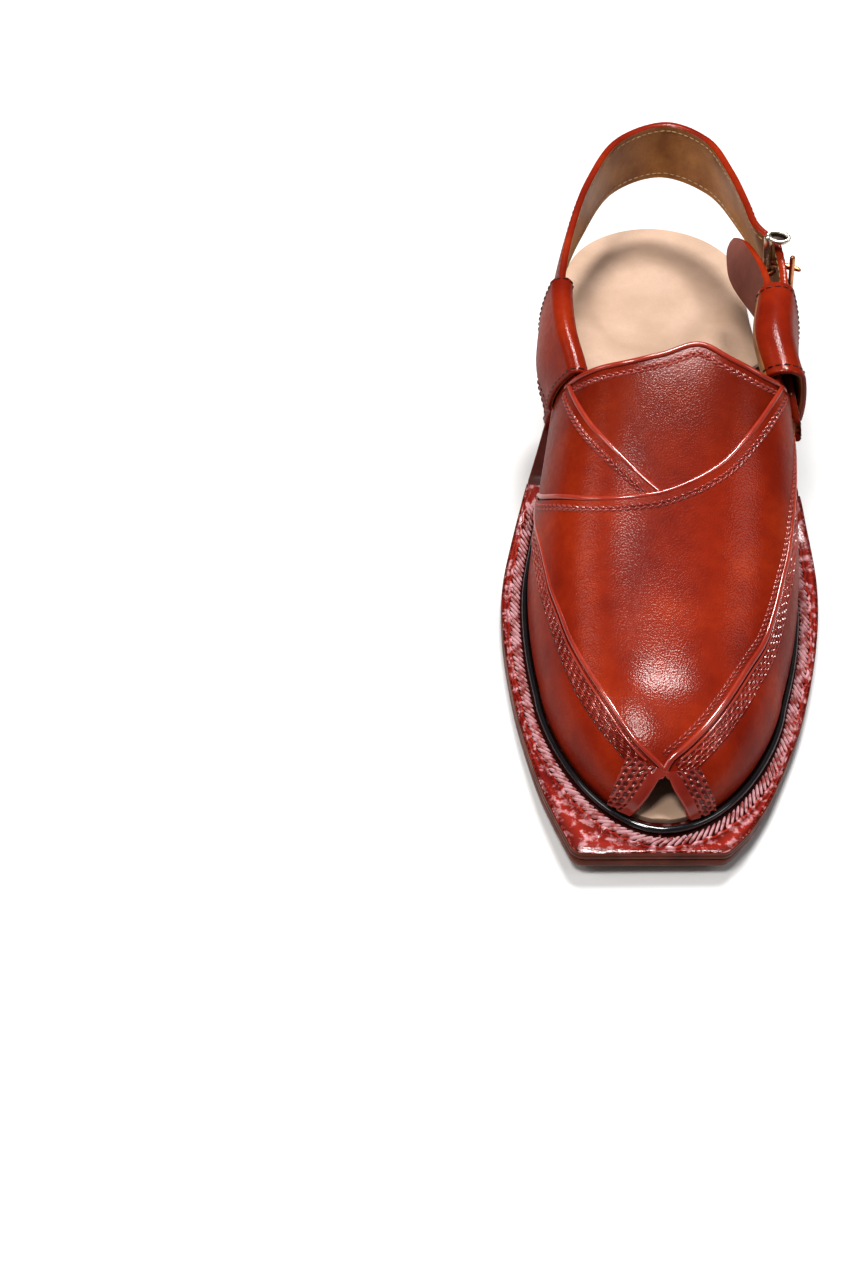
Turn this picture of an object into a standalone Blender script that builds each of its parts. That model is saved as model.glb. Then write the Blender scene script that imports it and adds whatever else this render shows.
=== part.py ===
"""Norozi chappal: the left shoe of a pair of men's leather sandals.

Frame: +Z up, the floor is z = 0, the toe points along -Y, and +X is the outer (lateral)
side, where the buckle is.  All the sizes below are millimetres in the last's own frame, with
the last's centre line at x = 0; `to_mesh` moves them to the origin and turns them into metres.
"""
import math
from collections import namedtuple

import bpy
import bmesh
import numpy as np

MM = 0.001
ORIGIN = (2.46, 0.14, 0.0)   # middle of the sole's footprint, which becomes the origin
GAP = 0.3                    # clearance between pieces that rest on one another

# ---- sole ----------------------------------------------------------------------------
TOE_SPRING = 5.0
SPRING_FROM_Y = -70.0        # the tread is flat behind this line
SHANK_FROM_Y = -15.0         # and starts to climb to the heel behind this one
BREAST_Y = 66.0
BREAST_HOLLOW = 5.5          # depth of the curve in the heel's front face
HEEL_HEIGHT = 25.0           # underside of the outsole at the very back
SEAT_GAIN = 1.2              # part of that height gained behind the breast
OUTSOLE = 3.9
MIDSOLE = 4.1
WELT = 1.9                   # lies in a step cut along the edge of the midsole
WELT_END_Y = 12.5
WELT_TUCK = 5.0              # width of welt hidden under bead and upper
INSOLE = 2.5
TOP_PIECE = 6.2              # black rubber under the heel
LIFT_COUNT = 4
EDGE_BREAK = 0.45            # softened corner of cut leather

Edge = namedtuple("Edge", "y medial lateral")
TOE_MEDIAL = (-26.0, -146.0)
TOE_LATERAL = (20.8, -142.3)      # the toe is cut off slightly aslant
TOE_CORNER = 5.0
SEAT_CENTRE_Y = 110.0
SEAT_RADIUS = 36.0
SOLE_EDGE = [
    Edge(-134, -31.5, 27.8),
    Edge(-122, -36.5, 34.6),
    Edge(-108, -41.0, 40.6),
    Edge(-92, -45.4, 46.6),
    Edge(-75, -49.0, 51.3),
    Edge(-56, -52.0, 55.2),
    Edge(-36, -53.3, 57.7),
    Edge(-14, -51.4, 58.0),
    Edge(6, -48.0, 55.4),
    Edge(24, -43.6, 50.8),
    Edge(44, -39.2, 45.4),
    Edge(64, -36.4, 41.0),
    Edge(84, -35.7, 37.8),
    Edge(110, -36.0, 36.0),
]

# ---- the last: outer face of the vamp --------------------------------------------------
WALL = 2.4
TUCK = 1.3                   # the wall turns in this much where it meets the welt
TUCK_REACH = 7.0
TOE_TIP_Y = -134.5
PLAN_Y = -85.0               # in front of this line the plan is one rounded curve
PLAN_POWER = 1.3
DOME_Y = -100.0              # and in front of this one the ridge drops to the toe
DOME_POWER = 1.75
DOME_EASE = 5.0        # the ridge's slope dies away over about this length
BEAD = 2.6                   # diameter of the piping round the feather line
BEAD_STAND = 0.8             # the wall bulges over it, so it stands off a little

Form = namedtuple("Form", "y medial lateral ridge_x ridge_z power")
LAST_FORM = [
    Form(-100, -34.6, 36.4, 0.0, 39.0, 2.45),
    Form(-85, -38.5, 40.5, -0.4, 44.0, 2.50),
    Form(-60, -43.0, 46.2, -0.4, 53.2, 2.60),
    Form(-39, -44.4, 48.4, 0.2, 62.6, 2.70),
    Form(-15, -42.6, 47.6, 1.6, 74.0, 3.00),
    Form(8, -39.8, 45.4, 3.0, 84.0, 3.30),
    Form(30, -38.4, 42.8, 3.4, 91.0, 3.30),
]

# Outline of the vamp: `t` runs round the section, -1 and 1 at the welt, 0 on the ridge.
PEEP_APEX = (-126.0, 30.0)   # y and z of the top of the small opening at the toe
PEEP_FOOT = (-132.8, 17.0)   # and of its foot
PEEP_HALF = 8.6              # half its width at the foot
STRAP_T = (0.4, 0.64)        # the straps leave the vamp between these
Hem = namedtuple("Hem", "t y")
REAR_HEM = [
    Hem(-1.0, 9.0), Hem(-0.92, 1.5), Hem(-0.84, -8.0), Hem(-0.74, 3.5), Hem(-0.64, 14.0),
    Hem(-0.52, 10.5), Hem(-0.4, 6.5), Hem(-0.3, 4.4), Hem(-0.19, 3.6), Hem(-0.07, 5.8),
    Hem(0.06, 10.0), Hem(0.17, 5.8), Hem(0.29, 4.0), Hem(0.4, 7.0), Hem(0.52, 11.0),
    Hem(0.64, 14.0), Hem(0.74, 3.5), Hem(0.84, -8.0), Hem(0.92, 1.5), Hem(1.0, 9.0),
]
HALF_COLUMNS = (0.0, 0.06, 0.13, 0.22, 0.31, 0.4, 0.46, 0.52, 0.58, 0.64, 0.69, 0.74,
                0.79, 0.84, 0.9, 0.95, 1.0)
STRAP_COLUMNS = 5
VAMP_ROWS = 24
ROW_POWER = 1.4              # crowds the rows towards the toe

Band = namedtuple("Band", "top_x top_y top_z low_x low_y low_z")
HEEL_STRAP = [                # from the inner side of the vamp, round the heel, to the tail
    Band(-37.0, 27, 76.5, -42.4, 33, 52.0),
    Band(-38.8, 50, 79.2, -42.2, 54, 54.0),
    Band(-36.0, 77, 83.0, -39.4, 79, 56.5),
    Band(-30.2, 102, 86.5, -32.8, 103, 60.0),
    Band(-18.5, 128, 88.5, -20.0, 130.5, 63.6),
    Band(0.5, 139, 89.0, 0.5, 141.8, 64.4),
    Band(16.0, 130, 88.3, 20.5, 131, 63.8),
    Band(24.6, 110.5, 87.0, 32.0, 111.5, 61.4),
    Band(29.6, 92.5, 85.6, 39.0, 94.5, 58.8),
    Band(32.2, 82, 84.4, 41.9, 85, 57.9),
    Band(35.0, 77.5, 83.8, 43.5, 81, 57.5),
    Band(39.4, 73, 83.0, 45.5, 76, 57.0),
    Band(40.8, 67, 81.4, 46.2, 70, 56.0),
    Band(41.9, 59.5, 78.8, 47.1, 62.5, 53.8),
    Band(41.8, 44, 74.0, 47.2, 48, 49.6),
    Band(41.8, 29, 68.8, 47.0, 33, 45.4),
    Band(43.6, 17, 63.2, 47.8, 21, 41.0),
    Band(46.2, 8, 57.6, 49.8, 10, 39.8),
]
GUARD_STRAP = [               # outer strap of the vamp: it ends as a guard under the buckle
    Band(33.6, 27, 76.0, 41.4, 32, 52.5),
    Band(35.9, 50.5, 79.2, 40.6, 54.5, 56.0),
    Band(34.2, 62, 79.8, 34.8, 63.5, 58.4),
    Band(30.6, 75, 78.5, 27.6, 76, 61.8),
    Band(28.0, 87, 74.0, 25.2, 87, 66.0),
]
TAIL_TIP = 9.0                # rounded ends of the two free straps
GUARD_TIP = 10.0
STRAP_BOW = 0.7               # the middle of a strap bulges out this much

# ---- loops at the sides: a doubled band from the sole round the strap -------------------
LOOP_WALL = 2.1
LOOP_PLAY = 0.45             # clearance between a loop and what runs through it
Loop = namedtuple("Loop", "foot_front foot_rear")
MEDIAL_LOOP = Loop(33.0, 61.0)
LATERAL_LOOP = Loop(27.0, 57.0)

# ---- buckle ------------------------------------------------------------------------------
BUCKLE_WIRE = 2.8
BUCKLE_BAR = np.array([4.4, 9.0, -32.6])     # from the top end of a bar to its lower end
BUCKLE_INNER = np.array([34.8, 68.4, 87.0])   # top end of the bar on the side of the foot
BUCKLE_OUTER = np.array([43.6, 65.4, 86.0])   # top end of the bar outside the strap
PRONG_WIRE = 2.2


# ---- curves through the tables -----------------------------------------------------------
def through(rows, along, field):
    """A smooth function through the rows of a table, `field` against `along`."""
    a = np.array([getattr(r, along) for r in rows], float)
    b = np.array([getattr(r, field) for r in rows], float)
    slope = np.gradient(b, a)

    def at(v):
        v = np.clip(np.asarray(v, float), a[0], a[-1])
        k = np.clip(np.searchsorted(a, v, side="right") - 1, 0, len(a) - 2)
        h = a[k + 1] - a[k]
        u = (v - a[k]) / h
        return ((1 + 2 * u) * (1 - u) ** 2 * b[k] + u * (1 - u) ** 2 * h * slope[k]
                + u * u * (3 - 2 * u) * b[k + 1] + u * u * (u - 1) * h * slope[k + 1])

    return at


def spline(points, steps):
    """Centripetal Catmull-Rom through 3-D points, `steps` pieces to each span."""
    p = np.asarray(points, float)
    p = np.vstack([2 * p[0] - p[1], p, 2 * p[-1] - p[-2]])
    out = []
    for i in range(1, len(p) - 2):
        a, b, c, d = p[i - 1], p[i], p[i + 1], p[i + 2]
        k = [0.0]
        for q, r in ((a, b), (b, c), (c, d)):
            k.append(k[-1] + math.sqrt(np.linalg.norm(r - q)))
        for j in range(steps):
            t = k[1] + (k[2] - k[1]) * j / steps
            ab = a + (b - a) * (t - k[0]) / (k[1] - k[0])
            bc = b + (c - b) * (t - k[1]) / (k[2] - k[1])
            cd = c + (d - c) * (t - k[2]) / (k[3] - k[2])
            left = ab + (bc - ab) * (t - k[0]) / (k[2] - k[0])
            right = bc + (cd - bc) * (t - k[1]) / (k[3] - k[1])
            out.append(left + (right - left) * (t - k[1]) / (k[2] - k[1]))
    out.append(p[-2])
    return np.array(out)


# ---- sole functions ----------------------------------------------------------------------
def tread(y):
    """Height of the outsole's underside."""
    y = np.asarray(y, float)
    spring = TOE_SPRING * np.clip((SPRING_FROM_Y - y) / (146.0 + SPRING_FROM_Y), 0, 2) ** 1.6
    u = np.clip((y - SHANK_FROM_Y) / (BREAST_Y - SHANK_FROM_Y), 0, 1)
    climb = (HEEL_HEIGHT - SEAT_GAIN) * (3 * u ** 2 - 2 * u ** 3)
    seat = SEAT_GAIN * np.clip((y - BREAST_Y) / (146.0 - BREAST_Y), 0, 1)
    return spring + climb + seat


def outsole_top(y):
    return tread(y) + OUTSOLE


def midsole_top(y):
    return outsole_top(y) + GAP + MIDSOLE


medial_edge = through(SOLE_EDGE, "y", "medial")
lateral_edge = through(SOLE_EDGE, "y", "lateral")


def rounded(a, corner, b, radius, steps):
    """Arc that rounds the corner between the directions to `a` and to `b`."""
    a, c, b = (np.asarray(v, float) for v in (a, corner, b))
    da = (a - c) / np.linalg.norm(a - c)
    db = (b - c) / np.linalg.norm(b - c)
    half = math.acos(float(np.clip(da @ db, -1, 1))) / 2
    reach = radius / math.tan(half)
    mid = c + (da + db) / np.linalg.norm(da + db) * radius / math.sin(half)
    start = c + da * reach
    end = c + db * reach
    out = []
    for i in range(steps + 1):
        u = i / steps
        v = (1 - u) * (start - mid) + u * (end - mid)
        out.append(mid + v / np.linalg.norm(v) * radius)
    return out


def sole_outline(rear_only_from=None):
    """Outline of the sole, from the middle of the toe down the inner side, round the heel
    and back along the outer side.  With `rear_only_from`, only what lies behind that line."""
    ys = np.concatenate([np.linspace(-134, -92, 8), np.linspace(-83, 100, 20)])
    inner = [np.array([medial_edge(y), y]) for y in ys]
    outer = [np.array([lateral_edge(y), y]) for y in ys]
    toe_m = np.array(TOE_MEDIAL)
    toe_l = np.array(TOE_LATERAL)
    corner_m = rounded(toe_l, toe_m, inner[0], TOE_CORNER, 6)
    corner_l = rounded(outer[0], toe_l, toe_m, TOE_CORNER, 6)
    seat = []
    for i in range(19):
        a = math.pi * i / 18
        seat.append(np.array([-SEAT_RADIUS * math.cos(a),
                              SEAT_CENTRE_Y + SEAT_RADIUS * math.sin(a)]))
    toe = [toe_l + (toe_m - toe_l) * u for u in (0.5, 0.7)]
    toe_end = [toe_l + (toe_m - toe_l) * u for u in (0.3,)]
    full = toe + corner_m + inner + seat + outer[::-1] + corner_l + toe_end
    if rear_only_from is None:
        return np.array(full)
    y0 = rear_only_from
    side = [y0 + (100 - y0) * k / 5 for k in range(6)]
    rear = [np.array([medial_edge(y), y]) for y in side] + seat
    rear += [np.array([lateral_edge(y), y]) for y in side[::-1]]
    return np.array(rear)


def inward(points, distance, closed=True):
    """The points moved to the left of their direction of travel by `distance`."""
    p = np.asarray(points, float)
    if closed:
        step = np.roll(p, -1, 0) - np.roll(p, 1, 0)
    else:
        step = np.gradient(p, axis=0)
    step /= np.linalg.norm(step, axis=1)[:, None]
    return p + np.stack([-step[:, 1], step[:, 0]], 1) * distance


# ---- the last ----------------------------------------------------------------------------
form_at = {f: through(LAST_FORM, "y", f) for f in Form._fields[1:]}


def section(y):
    """Edges, ridge, foot height and fullness of the vamp's cross-section at `y`."""
    back = DOME_Y + DOME_EASE * math.log1p(math.exp((y - DOME_Y) / DOME_EASE))
    wide = max(y, PLAN_Y)
    u = min(max((PLAN_Y - y) / (PLAN_Y - TOE_TIP_Y), 0.0), 0.9995)
    plan = math.sqrt(1 - u ** PLAN_POWER)
    v = min(max((DOME_Y - y) / (DOME_Y - TOE_TIP_Y), 0.0), 0.9995)
    dome = (1 - v ** DOME_POWER) ** (1 / DOME_POWER)
    foot = float(midsole_top(y)) + GAP
    ridge = foot + (float(form_at["ridge_z"](back)) - foot) * dome
    return (float(form_at["medial"](wide)) * plan, float(form_at["lateral"](wide)) * plan,
            float(form_at["ridge_x"](back)) * plan, ridge, foot,
            float(form_at["power"](back)))


def last_arc(y, side, count=72):
    """Half of the section at `y`, from the ridge down to the welt, and its running length."""
    medial, lateral, ridge_x, ridge, foot, power = section(y)
    edge = medial if side < 0 else lateral
    a = np.linspace(0, math.pi / 2, count)
    x = ridge_x + (edge - ridge_x) * np.sin(a) ** (2 / power)
    z = foot + (ridge - foot) * np.clip(np.cos(a), 0, 1) ** (2 / power)
    reach = min(TUCK_REACH, 0.4 * (ridge - foot))
    low = np.clip(1 - (z - foot) / reach, 0, 1) ** 2
    x = x - np.sign(edge) * TUCK * low
    run = np.concatenate([[0], np.cumsum(np.hypot(np.diff(x), np.diff(z)))])
    return x, z, run


def last_point(t, y):
    """Outer face of the vamp at the share `t` of the half section at `y`."""
    x, z, run = last_arc(y, -1 if t < 0 else 1)
    s = abs(t) * run[-1]
    return np.array([np.interp(s, run, x), y, np.interp(s, run, z)])


rear_hem = through(REAR_HEM, "t", "y")


def front_hem(t):
    """Edge of the toe opening, a pointed arch: where the face at `t` leaves it."""
    low, high = PEEP_FOOT[0], PEEP_APEX[0]
    if t == 0:
        return high
    for _ in range(16):
        y = (low + high) / 2
        x, _, z = last_point(t, y)
        drop = max(0.0, PEEP_APEX[1] - z) / (PEEP_APEX[1] - PEEP_FOOT[1])
        if abs(x) > PEEP_HALF * drop ** 0.85:
            high = y
        else:
            low = y
    return high


def feather_line(step_y=3.0):
    """Foot of the vamp in plan, from the inner waist round the toe to the outer waist."""
    side = {}
    for s in (-1, 1):
        ys = list(np.arange(WELT_END_Y - 0.5, -118, -step_y)) + list(np.arange(-118, -131, -1.6))
        ys += [TOE_TIP_Y + d for d in (2.8, 2.0, 1.3, 0.7, 0.3, 0.08)]
        side[s] = []
        for y in ys:
            x = last_arc(y, s)[0][-1]
            side[s].append((x, y))
    return np.array(side[-1] + [(0.0, TOE_TIP_Y)] + side[1][::-1])


# ---- mesh building -----------------------------------------------------------------------
def to_mesh(name, verts, faces, material, smooth=40):
    """Make an object out of millimetre vertices and link it to the collection."""
    mesh = bpy.data.meshes.new(name)
    points = (np.array(verts, dtype=float) - ORIGIN) * MM
    mesh.from_pydata(points.tolist(), [], faces)
    bm = bmesh.new()
    bm.from_mesh(mesh)
    bmesh.ops.remove_doubles(bm, verts=bm.verts, dist=1e-7)
    bmesh.ops.recalc_face_normals(bm, faces=bm.faces)
    bm.to_mesh(mesh)
    bm.free()
    obj = bpy.data.objects.new(name, mesh)
    SHOE.objects.link(obj)
    if material:
        mesh.materials.append(material)
    if smooth:
        mesh.polygons.foreach_set("use_smooth", [True] * len(mesh.polygons))
        mesh.set_sharp_from_angle(angle=math.radians(smooth))
    return obj


def stack(name, rings, material, ladder=True):
    """A solid of stacked outlines; the first and the last are closed over."""
    n = len(rings[0])
    verts = [p for ring in rings for p in ring]
    faces = []
    for k in range(len(rings) - 1):
        for i in range(n):
            j = (i + 1) % n
            faces.append((k * n + i, k * n + j, (k + 1) * n + j, (k + 1) * n + i))
    for base, flip in ((0, True), ((len(rings) - 1) * n, False)):
        if ladder:
            for face in rungs(rings[base // n]):
                face = [base + i for i in face]
                faces.append(tuple(face[::-1] if flip else face))
        else:
            face = [base + i for i in range(n)]
            faces.append(tuple(face[::-1] if flip else face))
    return to_mesh(name, verts, faces, material)


def rungs(ring):
    """Faces across an outline, each between neighbours in Y, so that they lie flat."""
    y = [p[1] for p in ring]
    n = len(y)
    front = int(np.argmin(y))
    left = (front + 1) % n
    right = (front - 1) % n
    a, b = front, front
    faces = []
    while left != right:
        if y[left] < y[right]:
            faces.append((a, left, b) if a != b else (a, left, right))
            if a == b:
                a, b = left, right
                left = (left + 1) % n
                right = (right - 1) % n
                continue
            a = left
            left = (left + 1) % n
        else:
            if a == b:
                faces.append((a, left, right))
                a, b = left, right
                left = (left + 1) % n
                right = (right - 1) % n
                continue
            faces.append((a, right, b))
            b = right
            right = (right - 1) % n
    faces.append((a, left, b))
    return faces


def layer(name, outline, low, high, material, edge=EDGE_BREAK):
    """A sheet of leather between the heights `low(y)` and `high(y)`, its corners softened."""
    rings = []
    for inset, base, lift in ((edge, low, 0.0), (0.0, low, edge), (0.0, high, -edge),
                              (edge, high, 0.0)):
        flat = inward(outline, inset) if inset else np.asarray(outline)
        rings.append([(p[0], p[1], float(base(p[1])) + lift) for p in flat])
    return stack(name, rings, material)


def slab(name, outline, low, high, material):
    """A flat or evenly tilted sheet, closed with plain polygons."""
    rings = [[(p[0], p[1], float(level(p[1]))) for p in outline] for level in (low, high)]
    return stack(name, rings, material, ladder=False)


def skin_solid(name, points, quads, thickness, material):
    """Thicken an open sheet of leather to its inner side."""
    obj = to_mesh(name, points, quads, material)
    mod = obj.modifiers.new("Leather", "SOLIDIFY")
    mod.thickness = thickness * MM
    mod.offset = -1.0
    mod.use_even_offset = True
    mod.use_quality_normals = True
    return obj


def leather(name, colour, rough=0.35):
    mat = bpy.data.materials.new(name)
    mat.use_nodes = True
    shader = mat.node_tree.nodes["Principled BSDF"]
    shader.inputs["Base Color"].default_value = (*colour, 1.0)
    shader.inputs["Roughness"].default_value = rough
    return mat


def metal(name, colour, rough=0.3):
    mat = leather(name, colour, rough)
    mat.node_tree.nodes["Principled BSDF"].inputs["Metallic"].default_value = 1.0
    return mat


def clear_scene():
    for obj in list(bpy.data.objects):
        bpy.data.objects.remove(obj)


# ---- pieces ------------------------------------------------------------------------------
def build_sole():
    outline = sole_outline()
    layer("outsole", outline, tread, outsole_top, EDGE_LEATHER)
    mid = layer("midsole", outline, lambda y: outsole_top(y) + GAP, midsole_top, EDGE_LEATHER)
    cut_welt_step(mid)
    build_welt()


def welt_mapping():
    """For points along the sole edge, the nearest point of the feather line and its inward
    normal there."""
    coarse = feather_line(6.0)
    feather = spline(np.c_[coarse, np.zeros(len(coarse))], 12)[:, :2]
    normal = np.gradient(feather, axis=0)
    normal /= np.linalg.norm(normal, axis=1)[:, None]
    normal = np.stack([-normal[:, 1], normal[:, 0]], 1)
    outline = sole_outline()
    heel = int(np.argmax(outline[:, 1]))
    ring = np.vstack([outline[heel:], outline[:heel]])[::-1]
    ring = [p for p in ring if p[1] < WELT_END_Y - 4]
    ring = [np.array([medial_edge(WELT_END_Y), WELT_END_Y])] + ring
    ring += [np.array([lateral_edge(WELT_END_Y), WELT_END_Y])]
    rows = []
    last = -2
    for p in ring:
        k = int(np.argmin(np.hypot(*(feather - p).T)))
        k = min(max(k, last + 2), len(feather) - 1)
        last = k
        rows.append((p, feather[k], normal[k]))
    rows[0] = (rows[0][0], np.array([feather[0][0], WELT_END_Y]), np.array([1.0, 0.0]))
    rows[-1] = (rows[-1][0], np.array([feather[-1][0], WELT_END_Y]), np.array([-1.0, 0.0]))
    return rows


def on_welt(row, from_feather):
    """A point of the welt: positive towards the sole edge, negative under the vamp."""
    p, q, normal = row
    if from_feather < 0:
        return q - normal * from_feather
    return q + (p - q) / np.linalg.norm(p - q) * from_feather


def strip(name, pairs, profile, material):
    """Sweep a closed profile along the welt; it gives (x, y, z) points for one pair."""
    rings = [profile(pair) for pair in pairs]
    n = len(rings[0])
    verts = [p for ring in rings for p in ring]
    faces = []
    for k in range(len(rings) - 1):
        for i in range(n):
            j = (i + 1) % n
            faces.append((k * n + i, k * n + j, (k + 1) * n + j, (k + 1) * n + i))
    last = (len(rings) - 1) * n
    faces.append(tuple(range(n))[::-1])
    faces.append(tuple(last + i for i in range(n)))
    return to_mesh(name, verts, faces, material)


def cut_welt_step(mid):
    """Cut the step for the welt along the front edge of the midsole."""
    rows = welt_mapping()

    def profile(row):
        a = on_welt(row, np.linalg.norm(row[0] - row[1]) + 3.0)
        b = on_welt(row, -WELT_TUCK - GAP)
        low = -WELT - GAP
        return [(a[0], a[1], float(midsole_top(a[1])) + low),
                (b[0], b[1], float(midsole_top(b[1])) + low),
                (b[0], b[1], float(midsole_top(b[1])) + 4),
                (a[0], a[1], float(midsole_top(a[1])) + 4)]

    cutter = strip("welt_step_cutter", rows, profile, None)
    SHOE.objects.unlink(cutter)
    CUTTERS.objects.link(cutter)
    cutter.hide_render = True
    cutter.display_type = "WIRE"
    mod = mid.modifiers.new("Welt step", "BOOLEAN")
    mod.operation = "DIFFERENCE"
    mod.solver = "EXACT"
    mod.object = cutter


def build_welt():
    rows = welt_mapping()
    for k in (0, -1):
        p, q, normal = rows[k]
        rows[k] = (p - np.array([0, GAP]), q - np.array([0, GAP]), normal)

    def profile(row):
        wide = np.linalg.norm(row[0] - row[1])
        steps = ((wide, -WELT), (-WELT_TUCK, -WELT), (-WELT_TUCK, 0.0), (BEAD, 0.0),
                 (0.58 * wide, 0.0), (0.63 * wide, -0.7), (wide - EDGE_BREAK, -0.7),
                 (wide, -0.7 - EDGE_BREAK))
        out = []
        for reach, drop in steps:
            c = on_welt(row, reach)
            out.append((c[0], c[1], float(midsole_top(c[1])) + drop))
        return out

    strip("welt", rows, profile, RED_LEATHER)

    def bead(pair):
        p, q = pair
        d = (q - p) / np.linalg.norm(q - p)
        c = q - d * (BEAD / 2 + GAP + BEAD_STAND)
        z = float(midsole_top(c[1])) + BEAD / 2 + GAP + 0.12
        out = []
        for i in range(6):
            a = 2 * math.pi * (i + 0.5) / 6
            out.append((c[0] + d[0] * math.cos(a) * BEAD / 2,
                        c[1] + d[1] * math.cos(a) * BEAD / 2, z + math.sin(a) * BEAD / 2))
        return out

    strip("rand_bead", bead_pairs(), bead, BLACK)


def bead_pairs():
    """Pairs along the feather line that stay evenly spread round the toe."""
    feather = feather_line(6.0)
    keep = [feather[0]]
    for p in feather[1:]:
        if np.linalg.norm(p - keep[-1]) > 3.0:
            keep.append(p)
    keep = np.array(keep)
    step = np.gradient(keep, axis=0)
    step /= np.linalg.norm(step, axis=1)[:, None]
    out = np.stack([step[:, 1], -step[:, 0]], 1)
    if out[0][0] > 0:
        out = -out
    return [(p + o * 8.0, p) for p, o in zip(keep, out)]


def insole_outline():
    """Inside the vamp in front, inside the loops at the waist, and flush at the heel."""
    feather = feather_line(7.0)
    inner = inward(feather, WALL + TUCK + GAP + 0.4, closed=False)
    if abs(inner[0][0]) > abs(feather[0][0]):
        inner = inward(feather, -(WALL + TUCK + GAP + 0.4), closed=False)
    inner = [p for p in inner if p[1] > TOE_TIP_Y + 3.2]
    keep = [inner[0]]
    for p in inner[1:]:
        if np.linalg.norm(p - keep[-1]) > 1.5:
            keep.append(p)
    hem = [(20, 4.4), (27, 5.4), (40, 5.4), (52, 5.4), (61.5, 5.4), (63.5, 0.6), (72, 0.5),
           (84, 0.5), (97, 0.5)]
    inner_side = [np.array([float(medial_edge(y)) + d, y]) for y, d in hem]
    outer_side = [np.array([float(lateral_edge(y)) - d, y]) for y, d in hem]
    radius = SEAT_RADIUS - 0.5
    seat = []
    for i in range(19):
        a = math.pi * i / 18
        seat.append(np.array([-radius * math.cos(a), SEAT_CENTRE_Y + radius * math.sin(a)]))
    return np.array(keep[::-1] + inner_side + seat + outer_side[::-1])


def build_insole():
    low = lambda y: midsole_top(y) + GAP
    high = lambda y: midsole_top(y) + GAP + INSOLE
    layer("insole", insole_outline(), low, high, TAN_LEATHER, edge=0.35)


def heel_outline(extra=0.0):
    rear = sole_outline(rear_only_from=BREAST_Y)
    left, right = rear[0], rear[-1]
    front = []
    for i in range(1, 14):
        u = i / 14
        x = right[0] + (left[0] - right[0]) * u
        front.append(np.array([x, BREAST_Y + BREAST_HOLLOW * math.sin(math.pi * u) ** 0.8]))
    return np.array(list(rear) + front)


def build_heel():
    outline = heel_outline()
    slab("heel_top_piece", outline, lambda y: 0.0, lambda y: TOP_PIECE, RUBBER)
    base = TOP_PIECE + GAP
    top = float(tread(BREAST_Y)) - GAP
    each = (top - base - GAP * (LIFT_COUNT - 1)) / LIFT_COUNT
    slope = SEAT_GAIN / (146.0 - BREAST_Y)
    for k in range(LIFT_COUNT):
        low = base + k * (each + GAP)
        high = low + each
        tilt = slope if k == LIFT_COUNT - 1 else 0.0
        slab("heel_lift_%d" % (k + 1), outline, lambda y, z=low: z,
             lambda y, z=high, s=tilt: z + s * (y - BREAST_Y), EDGE_LEATHER)


def strap_rows(rows, start, steps):
    """Cross rows of a strap: from the hem of the vamp through the table's bands."""
    lead = len(start)
    lines = [[row[0] for row in start], [row[-1] for row in start]]
    lines[0] += [np.array([b.top_x, b.top_y, b.top_z], float) for b in rows]
    lines[1] += [np.array([b.low_x, b.low_y, b.low_z], float) for b in rows]
    top = spline(lines[0], steps)[(lead - 1) * steps:]
    low = spline(lines[1], steps)[(lead - 1) * steps:]
    return top, low


def across(top, low, hem_row, count=STRAP_COLUMNS):
    """Fill the rows between the edges of a strap, bowed outwards; row 0 is the hem itself."""
    mid = (top + low) / 2
    along = np.gradient(mid, axis=0)
    along /= np.linalg.norm(along, axis=1)[:, None]
    cross = low - top
    wide = np.linalg.norm(cross, axis=1)[:, None]
    out = np.cross(along, cross / wide)
    out /= np.linalg.norm(out, axis=1)[:, None]
    grid = []
    hem = np.array(hem_row)
    chord = np.array([hem[0] + (hem[-1] - hem[0]) * j / (count - 1) for j in range(count)])
    swell = hem - chord
    for i in range(len(top)):
        fade = max(0.0, 1 - i / 8.0)
        fade = fade * fade * (3 - 2 * fade)
        row = []
        for j in range(count):
            u = j / (count - 1)
            bow = STRAP_BOW * 4 * u * (1 - u) * (1 - fade)
            row.append(top[i] + cross[i] * u + BOW_SIGN * out[i] * bow + swell[j] * fade)
        grid.append(row)
    return np.array(grid)


BOW_SIGN = 1.0


def round_end(grid, reach):
    """Narrow the last rows of a strap to a rounded end, set on an even half-circle."""
    mid = (grid[:, 0] + grid[:, -1]) / 2
    run = np.concatenate([[0], np.cumsum(np.linalg.norm(np.diff(mid, axis=0), axis=1))])
    total = run[-1]
    body = [k for k in range(len(grid)) if run[k] < total - reach]
    out = [grid[k] for k in body]
    for i in range(7):
        a = math.radians(90 * i / 6)
        s = total - reach + reach * math.sin(a)
        row = np.stack([np.stack([np.interp(s, run, grid[:, j, c]) for c in range(3)])
                        for j in range(grid.shape[1])])
        centre = (row[0] + row[-1]) / 2
        shrink = 0.22 + 0.78 * math.cos(a) ** 0.8
        out.append(centre + (row - centre) * shrink)
    return np.array(out)


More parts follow.
